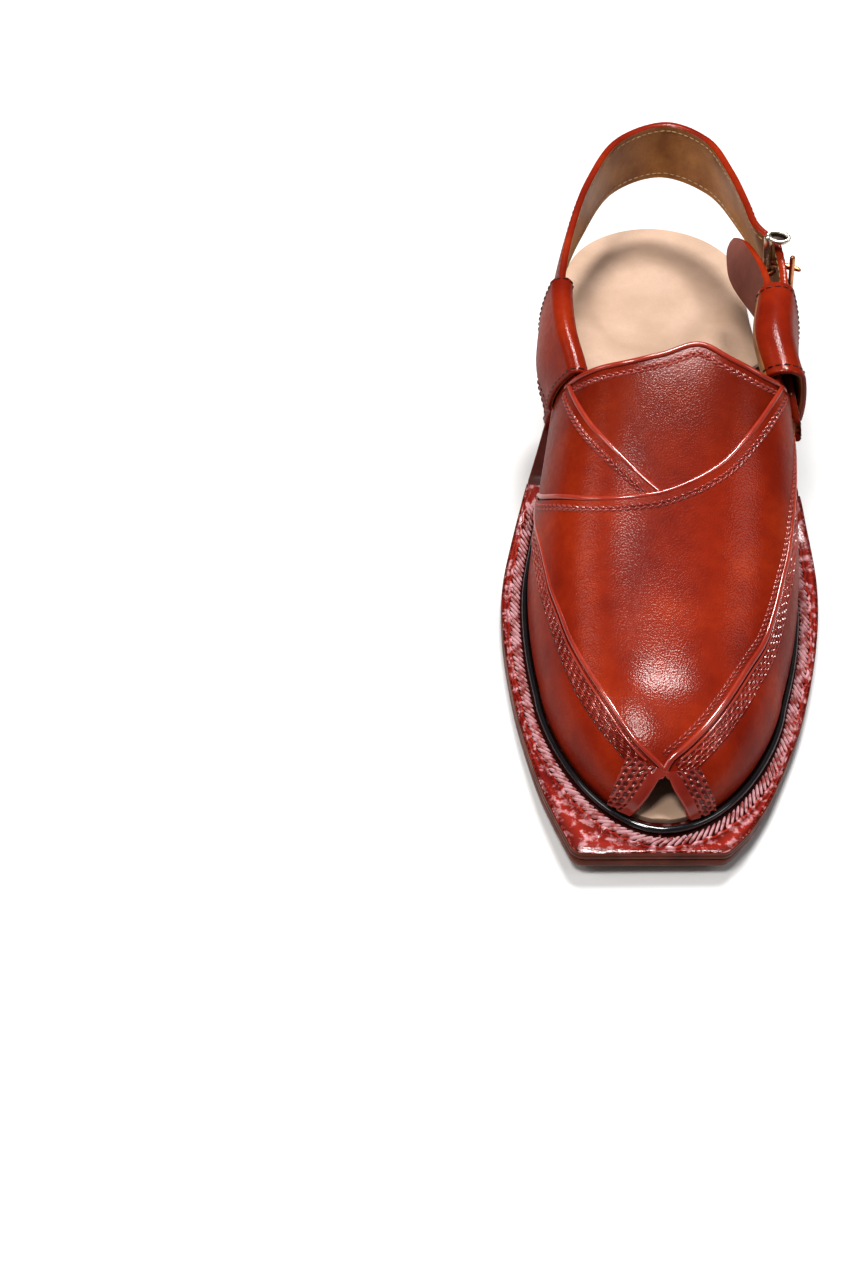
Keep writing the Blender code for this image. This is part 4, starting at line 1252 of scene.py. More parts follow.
TOE_BANDS = {
    "medial": ([(0.3, -125, 29.2), (-3.2, -128.3, 25.2), (-6.4, -130.9, 20.8),
                (-8.9, -132.9, 15.2)],
               [(-11.2, -120.8, 30.2), (-13.2, -124.4, 26), (-14.8, -127, 20.5),
                (-16.2, -128.4, 14.8)]),
    "lateral": ([(0.6, -125.4, 29), (3.4, -128.1, 25.6), (6.6, -130.4, 21),
                 (9.2, -132.6, 15.4)],
                [(10.6, -122.8, 29), (12.9, -125.4, 25), (15.2, -126.9, 20.2),
                 (16.6, -127.4, 14.6)]),
}


# Cross lines of the straps: the top edge (x, y, z), then the lower edge.
HEEL_STRAP = [
    (-37.0, 27, 76.5, -42.4, 33, 52.0), (-38.8, 50, 79.2, -42.2, 54, 54.0),
    (-36.0, 77, 83.0, -39.4, 79, 56.5), (-30.2, 102, 86.5, -32.8, 103, 60.0),
    (-18.5, 128, 88.5, -20.0, 130.5, 63.6), (0.5, 139, 89.0, 0.5, 141.8, 64.4),
    (16.0, 130, 88.3, 20.5, 131, 63.8), (24.6, 110.5, 87.0, 32.0, 111.5, 61.4),
    (29.6, 92.5, 85.6, 39.0, 94.5, 58.8), (32.2, 82, 84.4, 41.9, 85, 57.9),
    (35.0, 77.5, 83.8, 43.5, 81, 57.5), (39.4, 73, 83.0, 45.5, 76, 57.0),
    (40.8, 67, 81.4, 46.2, 70, 56.0), (41.9, 59.5, 78.8, 47.1, 62.5, 53.8),
    (41.8, 44, 74.0, 47.2, 48, 49.6), (41.8, 29, 68.8, 47.0, 33, 45.4),
    (43.6, 17, 63.2, 47.8, 21, 41.0), (46.2, 8, 57.6, 49.8, 10, 39.8),
]
GUARD_STRAP = [
    (33.6, 27, 76.0, 41.4, 32, 52.5), (35.9, 50.5, 79.2, 40.6, 54.5, 56.0),
    (34.2, 62, 79.8, 34.8, 63.5, 58.4), (30.6, 75, 78.5, 27.6, 76, 61.8),
    (28.0, 87, 74.0, 25.2, 87, 66.0),
]


@dataclass
class Strap:
    """A strap that leaves the vamp's rear edge and ends in a rounded tip."""

    bands: list[tuple[float, ...]]
    side: int
    tip: float
    steps: int = 9
    columns: int = 13
    bow: float = 0.7

    def sheet(self) -> Array:
        """Outer face of the strap as rows across it.

        Returns:
            A (rows, columns, 3) grid.
        """
        shares = np.linspace(0.4, 0.64, self.columns) * self.side
        hems = [(LAST.front_hem(t), float(rear_hem(t))) for t in shares]
        lead, hem = (np.array([LAST.point(t, a + (b - a) * v) for t, (a, b) in zip(shares, hems)])
                     for v in ((21 / 24) ** 1.4, 1.0))
        top, low = (spline(np.array([lead[end], hem[end], *(b[half] for b in self.bands)], float),
                           self.steps)[self.steps:]
                    for end, half in ((0, np.s_[:3]), (-1, np.s_[3:])))
        mid = (top + low) / 2
        along, cross = unit(np.gradient(mid, axis=0)), low - top
        out = unit(np.cross(along, unit(cross)))
        u = np.linspace(0, 1, self.columns)
        swell = hem - (hem[0] + (hem[-1] - hem[0]) * u[:, None])
        reach = np.clip(1 - np.arange(len(top)) / (self.steps * 2.4), 0, 1)
        fade = soft(reach)[:, None, None]
        bulge = (self.bow * 4 * u * (1 - u))[None, :, None] * (1 - fade)
        grid = top[:, None] + cross[:, None] * u[None, :, None] + out[:, None] * bulge
        return self.rounded(grid + swell[None] * fade)

    def rounded(self, grid: Array) -> Array:
        """Narrow the last rows to a round tip.

        Args:
            grid: rows across the strap.

        Returns:
            The rows with the tip in place of the last ones.
        """
        mid = (grid[:, 0] + grid[:, -1]) / 2
        run = run_of(mid)
        body = [grid[k] for k in range(len(grid)) if run[k] < run[-1] - self.tip]
        for i in range(15):
            a = math.radians(90 * i / 14)
            s = run[-1] - self.tip + self.tip * math.sin(a)
            row = np.stack([[np.interp(s, run, grid[:, j, c]) for c in range(3)]
                            for j in range(grid.shape[1])])
            centre = (row[0] + row[-1]) / 2
            body.append(centre + (row - centre) * (0.16 + 0.84 * math.cos(a) ** 0.75))
        return np.array(body)


def ruled(a: Array, b: Array, count: int) -> Array:
    """A grid between two lines of as many points each."""
    u = np.linspace(0, 1, count)[None, :, None]
    return a[:, None] * (1 - u) + b[:, None] * u


@dataclass
class Upper:
    """Vamp with its crossed panels, tooled bands, toe opening, and the two straps."""

    red: Material
    rolled: Material
    tooled: Material
    lining: Material
    flesh: Material
    thread: Material
    tan_thread: Material
    cross_height: float = 1.0
    medial_height: float = 0.55
    roll: float = 0.95
    seam_offset: float = 3.7
    hem_share: float = 0.085
    skirt: float = 0.3

    def __post_init__(self) -> None:
        """Prepare the face that all is laid on."""
        self.face = Face()
        self.heel = Strap(HEEL_STRAP, -1, 9.0).sheet()
        self.guard = Strap(GUARD_STRAP, 1, 10.0).sheet()

    def line(self, spots: Sequence[Spot], count: int) -> Array:
        """A smooth line on the face through the spots."""
        curve = evenly(spline(np.array(spots, float), 12), count)
        return self.face.drop(curve)[0]

    def build(self) -> None:
        """Build all the pieces of the upper."""
        self.build_vamp()
        self.build_panels()
        self.build_rolled_edges()
        self.build_bands()
        self.build_braids()
        self.build_straps()

    def shade(self, points: Array) -> Array:
        """Painted shade: darker toward the throat, under and between the panels."""
        return 0.42 * soft((points[..., 1] + 52.0) / 50.0)

    def build_vamp(self) -> None:
        """The wall of the vamp: throat, side panels and lining, with the toe left open."""
        piece = Piece("vamp", Slot.RED, [self.red, self.lining])
        points = self.face.points[:, ::-1]
        # The vamp's face takes the painted shade toward the throat.
        shell(piece, points, LAST.wall, self.shade(points))
        piece.make(50, heal=0.01, replaces=["upper"])

    def overlay(self, name: str, grid: Array, height: float, material: Material,
                relief: Callable[[Array, Array], tuple[Array, Array]] | None = None,
                depth: float = 0.0, smooth: float = 45.0) -> None:
        """Lay a thin panel on the face.

        Args:
            name: name of the piece.
            grid: its points, near the face.
            height: how far its face stands above the vamp's.
            material: its finish.
            relief: pattern of (along, across) that gives height and painted shade.
            depth: depth of the pattern.
            smooth: edges sharper than this stay crisp.
        """
        laid, normal = self.face.drop(grid)
        if relief is None:
            lift = np.full(laid.shape[:2], height)
            # Painted shade; panels lower than the cross panel take more of it.
            mark = self.shade(laid) * (0.8 if height < self.cross_height else 0.35)
        else:
            middle = laid[:, laid.shape[1] // 2]
            s = np.broadcast_to(run_of(middle)[:, None], laid.shape[:2])
            step = np.linalg.norm(np.diff(laid, axis=1), axis=-1)
            w = np.concatenate([np.zeros((len(laid), 1)), np.cumsum(step, 1)], 1)
            # The pattern's second value is painted shade in its hollows.
            bump, mark = relief(s, w)
            lift = height + (bump - 1.0) * depth
        top, base = laid + normal * lift[..., None], laid - normal * self.skirt
        piece = Piece(name, Slot.RED, [material])
        piece.grid(top, 0, mark)
        for end, _ in GRID_EDGES:
            piece.grid(np.stack([top[end], base[end]]))
        piece.grid(base, flip=True)
        piece.make(smooth, heal=0.01)

    def build_panels(self) -> None:
        """The medial panel, and over it the cross panel that runs down to the toe."""
        top = self.line(MEDIAL_TOP, 70)
        hem = self.face.hem(-0.475, -0.835, 30)
        under = self.line(CROSS_TOP[:9], 60)
        low = evenly(np.vstack([hem, under[2:]]), 70)
        self.overlay("medial_panel", ruled(top, low, 44), self.medial_height, self.red)
        left = self.line(CROSS_MEDIAL, 150)
        right = evenly(np.vstack([self.face.hem(0.43, 0.633, 20),
                                  self.line(CROSS_LATERAL, 120)[1:]]), 150)
        crown = self.line(CROSS_TOP, 90)
        v = np.linspace(0, 1, 150)[:, None, None]
        first = crown[None] - ruled(crown[:1], crown[-1:], 90)
        grid = ruled(left, right, 90) + first * (1 - v) ** 1.5
        self.overlay("cross_panel", grid, self.cross_height, self.red)

    def roll_along(self, piece: Piece, path: Array, height: float, radius: float,
                   flat: float) -> None:
        """Lay a roll of leather along a line on the face."""
        laid, normal = self.face.drop(path, height)
        tube(piece, laid, radius, 8, normal, flat)

    def build_rolled_edges(self) -> None:
        """Turned edges, seen as thin glossy rolls along each panel."""
        # The rolls take a lighter copy of the red leather: painted highlight along the edges.
        piece = Piece("rolled_edges", Slot.RED, [self.rolled])
        tall = self.cross_height - self.roll * 0.45
        for spots, height, radius in (
                (CROSS_TOP, tall, self.roll), (CROSS_MEDIAL, tall, self.roll),
                (CROSS_LATERAL, tall, self.roll + 0.2), (MEDIAL_TOP, tall - 0.4, self.roll)):
            self.roll_along(piece, self.line(spots, 160), height, radius, 0.8)
        for spots, offset in ((CROSS_LATERAL, 2.0), (CROSS_MEDIAL, -2.0)):
            self.roll_along(piece, self.beside(spots[:-1], offset, 200)[:-3], 0.42, 0.42, 0.8)
        for start, end, radius in ((-0.47, 0.47, 0.95), (-0.64, -0.86, 0.8), (0.64, 0.86, 0.8)):
            self.roll_along(piece, self.face.hem(start, end, 90), 0.1, radius, 0.85)
        piece.make(60, heal=0.0)

    def build_bands(self) -> None:
        """Pressed bands outside the cross panel, and the two bands beside the toe opening."""
        def slots(s: Array, w: Array) -> tuple[Array, Array]:
            """Long pits in four rows."""
            return pits(s, w, 3.1, 1.2)

        medial = ruled(self.beside(CROSS_MEDIAL, -2.2, 420), self.line(TOOLED_MEDIAL, 420), 30)
        lateral = ruled(self.beside(CROSS_LATERAL[:-1], 2.2, 480),
                        self.beside(CROSS_LATERAL[:-1], 7.0, 480), 30)
        self.overlay("tooled_band_medial", medial, 0.55, self.tooled, slots, 0.6, 70)
        self.overlay("tooled_band_lateral", lateral, 0.55, self.tooled, slots, 0.6, 70)
        for side, (inner, outer) in TOE_BANDS.items():
            a, b = self.line(inner, 76), self.line(outer, 76)
            strip = ruled(a, b, 60)

            def relief(s: Array, w: Array) -> tuple[Array, Array]:
                """Pits, but for a plain strip beside the opening."""
                # Painted shade in the pits, none on the plain strip.
                height, dark = pits(s, w, 2.3, 2.0)
                plain = soft((3.4 - w) / 0.8)
                return height * (1 - plain) + plain, dark * (1 - plain)

            self.overlay("toe_band_" + side, strip, 1.15, self.tooled, relief, 0.5, 70)
            # The toe roll takes the lighter rolled finish: painted highlight.
            piece = Piece("toe_roll_" + side, Slot.RED, [self.rolled])
            self.roll_along(piece, a, 0.35, 0.95, 0.9)
            piece.make(60, heal=0.0)

    def beside(self, spots: Sequence[Spot] | Array, offset: float, count: int) -> Array:
        """A line on the face that runs beside another at an offset to its left.

        Args:
            spots: places that the line passes, or the line itself.
            offset: distance to the left.
            count: number of points.

        Returns:
            The new line.
        """
        line = self.line(spots, 160) if isinstance(spots, list) else spots
        _, normal = self.face.drop(line)
        side = np.cross(normal, unit(np.gradient(line, axis=0)))
        return evenly(self.face.drop(line + side * offset)[0], count)

    def plait(self, name: str, line: Array, height: float, half: float = 1.1,
              pitch: float = 2.4) -> None:
        """A braided seam along a line.

        Args:
            name: name of the piece.
            line: its middle line.
            height: of its base over the vamp.
            half: half of its width.
            pitch: length of a strand's repeat.
        """
        count = int(run_of(line)[-1] / 0.3)
        mid = evenly(line, count)
        _, normal = self.face.drop(mid)
        side = np.cross(normal, unit(np.gradient(mid, axis=0)))
        across = np.linspace(-half * 1.15, half * 1.15, 15)
        grid = mid[:, None] + side[:, None] * across[None, :, None]

        def relief(s: Array, w: Array) -> tuple[Array, Array]:
            """The plait, measured from its middle."""
            return braid(s, w - half * 1.15, pitch, half)

        self.overlay(name, grid, height + 0.15, self.tooled, relief, 0.75, 70)

    def build_braids(self) -> None:
        """Braided seams beside the throat, the medial panel and the cross panel."""
        off = self.seam_offset
        throat = self.face.hem(-0.44, 0.45, 120)
        self.plait("throat_braid", self.beside(throat, -off, 160)[3:-3], 0.42)
        self.plait("medial_braid", self.beside(MEDIAL_TOP, -off, 120)[2:-5],
                   self.medial_height + 0.42)
        self.plait("cross_braid", self.beside(CROSS_TOP[1:], -off, 200)[3:-1],
                   self.cross_height + 0.42)
        dashes = Scatter("upper_stitches", Slot.RED, self.thread, grain_of_rice(2.1, 0.62, 0.42))

        def row(line: Array, pitch: float = 2.7) -> None:
            """Sew a row of single stitches."""
            spots = evenly(line, int(run_of(line)[-1] / pitch))
            laid, normal = self.face.drop(spots)
            dashes.add(laid, np.gradient(spots, axis=0), normal)

        self.plait("edge_braid", self.beside(CROSS_LATERAL, -2.5, 260)[3:-7],
                   self.cross_height + 0.3, 0.95, 2.1)
        row(self.beside(TOOLED_MEDIAL, -0.5, 200)[2:-3])
        for share in (-0.985, 0.985):
            row(np.array([LAST.point(share, y) for y in np.linspace(4, -124, 90)]), 2.9)
        dashes.make()

    def build_straps(self) -> None:
        """The heel strap and the guard, with linings and rows of stitches on their edges."""
        rows = Scatter("strap_stitches", Slot.RED, self.thread, grain_of_rice(2.0, 0.6, 0.38))
        pale = Scatter("lining_stitches", Slot.RED, self.tan_thread,
                       grain_of_rice(1.9, 0.5, 0.3))
        for name, sheet, inner in (("heel_strap", self.heel, self.lining),
                                   ("guard_strap", self.guard, self.flesh)):
            normal = -grid_normals(sheet)
            away = normal[5, 6] @ (sheet[5, 6] - np.array([0.0, sheet[5, 6][1], 66.0]))
            grid = sheet if away > 0 else sheet[:, ::-1]
            piece = Piece(name, Slot.RED, [self.red, inner])
            shell(piece, grid, LAST.wall)
            piece.make(50, heal=0.01)
            normal = -grid_normals(grid)
            for column in (0, -1):
                near, far, n = grid[:, column], grid[:, -1 - column], normal[:, column]
                line = near + (far - near) * self.hem_share
                spots = evenly(line, int(run_of(line)[-1] / 2.8))
                k = np.array([np.argmin(np.linalg.norm(line - p, axis=1)) for p in spots])
                rows.add(spots + n[k] * STITCH_LIFT, np.gradient(spots, axis=0), n[k])
                back = spots - n[k] * (LAST.wall + 0.02)
                if name == "heel_strap":
                    pale.add(back, np.gradient(spots, axis=0), -n[k])
        rows.make()
        pale.make()


# ---- loops -------------------------------------------------------------------------------
def at_y(line: Array, y: float) -> Array:
    """Point of a strap's edge at the given distance along the shoe."""
    order = np.argsort(line[:, 1])
    return np.array([np.interp(y, line[order, 1], line[order, c]) for c in range(3)])


@dataclass
class Turn:
    """Cross-section of a loop: centres of its two turns, their radii and its foot."""

    top: Array
    low: Array
    radius_top: float
    radius_low: float
    out: Array
    foot: Array
    bow: float


@dataclass
class Loop:
    """A doubled band that rises from the sole, wraps the straps and is seamed below them."""

    name: str
    side: int
    front: float
    length: float
    foot_front: float
    foot_rear: float
    red: Material
    lining: Material
    thread: Material
    wall: float = 2.1
    play: float = 0.45
    stations: int = 27
    seam: int = 42
    legs: int = 13

    def turn(self, lines: Sequence[Array], y: float, low_y: float, w: float) -> Turn:
        """Work out the section where the loop wraps the straps at `y`.

        Args:
            lines: top and low edge of the inner strap, of the outer strap, and its middle.
            y: place on the top edges.
            low_y: place on the lower edges.
            w: share along the loop.

        Returns:
            The section.
        """
        top_in, top_out = at_y(lines[0], y), at_y(lines[2], y)
        low_in, low_out = at_y(lines[1], low_y), at_y(lines[3], low_y)
        mid_out = at_y(lines[4], (y + low_y) / 2)
        cross = unit((low_in - top_in) + (low_out - top_out))
        out = unit(np.array([self.side, 0.0, 0.0]) - cross * cross[0] * self.side)

        def middle(inner: Array, outer: Array, level: Array) -> tuple[Array, float]:
            """Centre and radius of a turn.

            Args:
                inner: edge of the inner strap.
                outer: edge of the outer strap.
                level: the edge that stands furthest out.

            Returns:
                The centre and the radius.
            """
            span = float((outer - inner) @ out) + LAST.wall
            centre = inner + out * (span / 2 - LAST.wall)
            centre = centre + cross * float((level - centre) @ cross)
            return centre, span / 2 + self.play + 0.2

        high = top_in if top_in @ cross < top_out @ cross else top_out
        deep = low_in if low_in @ cross > low_out @ cross else low_out
        top, radius_top = middle(top_in, top_out, high)
        low, radius_low = middle(low_in, low_out, deep)
        top = top + cross * (radius_top * 0.35)
        low = low - cross * (radius_low * 0.2)
        foot_y = self.foot_front + (self.foot_rear - self.foot_front) * w
        edge = medial_edge if self.side < 0 else lateral_edge
        foot = np.array([float(edge(foot_y)) - self.side * (0.5 + self.wall * 0.92), foot_y,
                         float(FORM.midsole_top(foot_y)) + GAP])
        bow = max(0.5, float((mid_out - (top_out + low_out) / 2) @ out))
        return Turn(top, low, radius_top, radius_low, out, foot, bow)

    def outline(self, turn: Turn, thin: float) -> tuple[Array, Array]:
        """Outer contour with the two legs, and the hole that the straps run through.

        Args:
            turn: the section.
            thin: how much the leather narrows on both faces, for a softened end.

        Returns:
            The contour and the hole, each (n, 3).
        """
        down = unit(turn.low - turn.top)
        out = turn.out
        half = self.wall * 0.92 - thin
        outer, hole = [], []

        def arc(centre: Array, radius: float, angles: Array) -> None:
            """Add an arc to both contours."""
            for a in np.radians(angles):
                spoke = out * math.cos(a) - down * math.sin(a)
                hole.append(centre + spoke * (radius + thin))
                outer.append(centre + spoke * (radius + self.wall - thin))

        def flank(sign: int) -> None:
            """Add a flat side to both contours, the outer one bowed like the strap."""
            for u in np.linspace(0, 1, 9)[1:-1]:
                u = u if sign > 0 else 1 - u
                bow = turn.bow * 4 * u * (1 - u) * 1.15 if sign > 0 else 0.0
                for line, wall in ((hole, thin), (outer, self.wall - thin)):
                    low = turn.low + out * sign * (turn.radius_low + wall)
                    top = turn.top + out * sign * (turn.radius_top + wall)
                    line.append(low + (top - low) * u + out * bow)

        arc(turn.low, turn.radius_low, np.linspace(-60, 0, 6))
        flank(1)
        arc(turn.top, turn.radius_top, np.linspace(0, 180, 17))
        flank(-1)
        arc(turn.low, turn.radius_low, np.linspace(180, 240, 6))
        bottom = turn.low + down * turn.radius_low
        seam = bottom + down * (self.wall + 1.2)
        level = np.array([self.side, 0.0, 0.0])
        reach = np.linalg.norm(turn.foot - seam)
        legs = ([], [])
        for u in np.linspace(0, 1, self.legs):
            h = ((1 + 2 * u) * (1 - u) ** 2, u * (1 - u) ** 2, u * u * (3 - 2 * u),
                 u * u * (u - 1))
            centre = (seam * h[0] + down * reach * 0.9 * h[1] + turn.foot * h[2]
                      + np.array([0, 0.15, -1.0]) * reach * 0.7 * h[3])
            flat = unit(out + (level - out) * u)
            legs[0].append(centre + flat * half)
            legs[1].append(centre - flat * half)
        ring = legs[0][::-1] + outer + legs[1]
        return np.array(ring), np.array([bottom + down * thin * 0.5] + hole)

    def build(self, lines: Sequence[Array], low_shift: tuple[float, float]) -> None:
        """Build the loop round the straps.

        Args:
            lines: edges of the straps, as `turn` takes them.
            low_shift: how far the lower edge is wrapped behind the top one, front and rear.
        """
        ends = ((0.0, 0.55), (0.004, 0.2), (0.014, 0.0))
        shares = [w for w, _ in ends] + list(np.linspace(0.03, 0.97, self.stations))
        shares += [1 - w for w, _ in ends[::-1]]
        thins = [t for _, t in ends] + [0.0] * self.stations + [t for _, t in ends[::-1]]
        pairs = []
        for w, thin in zip(shares, thins):
            y = self.front + self.length * w
            low_y = y + low_shift[0] + (low_shift[1] - low_shift[0]) * w
            pairs.append(self.outline(self.turn(lines, y, low_y, w), thin))
        rings, holes = (np.array(side) for side in zip(*pairs))
        piece = Piece(self.name + "_skin", Slot.RED, [self.red, self.lining])
        piece.grid(rings[:, :self.seam + 1])
        piece.grid(np.concatenate([rings[:, self.seam:], rings[:, :1]], 1), 1)
        piece.grid(holes, 1, wrap=(False, True), flip=True)
        n, m, legs = rings.shape[1], holes.shape[1], self.legs
        for k in (0, -1):
            points = np.vstack([rings[k], holes[k]])
            faces = [(i, i + 1, n - 2 - i, n - 1 - i) for i in range(legs - 1)]
            faces += [(legs - 1 + i, legs + i, n + (i + 1) % m, n + i) for i in range(m)
                      if legs + i < n]
            faces.append((legs - 1, n, n - legs))
            piece.add(points, faces)
        piece.make(48, heal=0.01, replaces=[self.name])
        self.sew(rings)

    def sew(self, rings: Array) -> None:
        """Stitch both ends and the double cross seam below the straps.

        Args:
            rings: contours of the loop, one station a row.
        """
        sewing = Scatter(self.name + "_stitches", Slot.RED, self.thread,
                         grain_of_rice(2.1, 0.62, 0.42))
        normal, legs = grid_normals(rings), self.legs
        centre = rings.mean(axis=(0, 1))
        k, i = len(rings) // 2, legs + 8
        if normal[k, i] @ (rings[k, i] - centre) < 0:
            normal = -normal
        stretch = np.s_[2:rings.shape[1] - legs + 2]

        def row(points: Array, normals: Array) -> None:
            """Sew stitches along points of the skin."""
            line = evenly(points, max(3, int(run_of(points)[-1] / 2.8)))
            near = [int(np.argmin(np.linalg.norm(points - p, axis=1))) for p in line]
            sewing.add(line + normals[near] * STITCH_LIFT, np.gradient(line, axis=0), normals[near])

        length = run_of(rings[:, legs + 4])
        for inset in (2.2, length[-1] - 2.2):
            at = int(np.argmin(np.abs(length - inset)))
            row(rings[at, stretch], normal[at, stretch])
        for at in (legs - 1, legs - 3):
            row(rings[4:-4, at], normal[4:-4, at])
        sewing.make()


# ---- buckle ------------------------------------------------------------------------------
@dataclass
class Buckle:
    """A frame of two bars joined by cupped rails above and below the strap, and a prong."""

    metal: Material
    painted_reflection: Material
    copper: Material
    wire: float = 2.8
    prong_wire: float = 2.2
    bar: Array = field(default_factory=lambda: np.array([4.4, 9.0, -32.6]))
    inner: Array = field(default_factory=lambda: np.array([34.8, 68.4, 87.0]))
    outer: Array = field(default_factory=lambda: np.array([43.6, 65.4, 86.0]))

    def __post_init__(self) -> None:
        """Work out the frame's own directions: down the bars, along the strap, and out."""
        self.down = unit(self.bar)
        way = self.outer - self.inner
        way = way - self.down * (way @ self.down)
        self.span = float(np.linalg.norm(way))
        self.along = way / self.span
        self.out = np.cross(self.along, self.down)

    def build(self) -> None:
        """Build the frame and the prong in place of the plain ones."""
        self.build_frame()
        self.build_prong()

    def build_frame(self) -> None:
        """Bars and rails; a rail is a small oval cup with a raised, polished rim and a dark inner
        cup, a painted reflection.
        """
        down, along, out, span = self.down, self.along, self.out, self.span
        piece = Piece("buckle_frame_metal", Slot.BRASS, [self.metal, self.painted_reflection, self.copper])
        r = self.wire / 2
        length = float(np.linalg.norm(self.bar))
        for start, tone, size, top in ((self.inner, 0, 1.12, 0.02), (self.outer, 2, 0.7, 0.2)):
            path = np.array([start + down * (length * u) for u in np.linspace(top, 0.98, 9)])
            tube(piece, path, r * size, 14, out, tone=tone)
        centre = (self.inner + self.outer) / 2
        rails = ((centre - along * 0.9 - down * 0.6 + np.array([0.0, 1.6, 0.0]),
                  span / 2 - 0.9, down), (centre + down * length, span / 2 + r * 0.25, -down))
        for middle, half, into in rails:
            a = 2 * math.pi * np.arange(40)[:, None] / 40

            def oval(inset: float, depth: float = 0.0) -> Array:
                """The rim's oval, drawn in by `inset` and sunk into the cup."""
                return (middle + along * np.cos(a) * (half - inset)
                        + out * np.sin(a) * (r * 1.55 - inset) + into * depth)

            tube(piece, oval(0.0), 0.78, 10, down, 1.15, closed=True)
            # The inner cup takes the dark finish: painted reflection of dark surroundings.
            for ring, floor, depth, tone in ((oval(0.9), oval(1.2, 0.9), 1.1, 1),
                                             (oval(0.0), oval(1.2, 2.4), 2.2, 0)):
                tip = np.broadcast_to(middle + into * depth, ring.shape)
                piece.grid(np.array([ring, floor, tip]), tone, wrap=(False, True))
        piece.make(50, heal=0.0, replaces=["buckle_frame"])

    def build_prong(self) -> None:
        """The prong: an eye round the inner bar and a tapered finger on the outer bar."""
        along, out, span = self.along, self.out, self.span
        piece = Piece("buckle_prong_metal", Slot.BRASS, [self.copper])
        r, bar = self.prong_wire / 2, self.wire / 2
        hub = self.inner + self.bar / 2
        turn = bar + GAP + r
        a = np.radians(np.linspace(345, 90, 28))[:, None]
        eye = hub + (along * np.cos(a) + out * np.sin(a)) * turn
        reach = np.append(np.linspace(0.1, 1.0, 10) * span, [span + 1.3, span + 2.2])
        height = turn - np.append(np.zeros(10), [0.15, 0.4])
        path = np.vstack([eye, hub + along * reach[:, None] + out * height[:, None]])
        size = np.full(len(path), r)
        size[-4:] = (r * 0.97, r * 0.9, r * 0.8, r * 0.62)
        tube(piece, path, size, 12, self.down)
        piece.make(60, heal=0.0, replaces=["buckle_prong"])


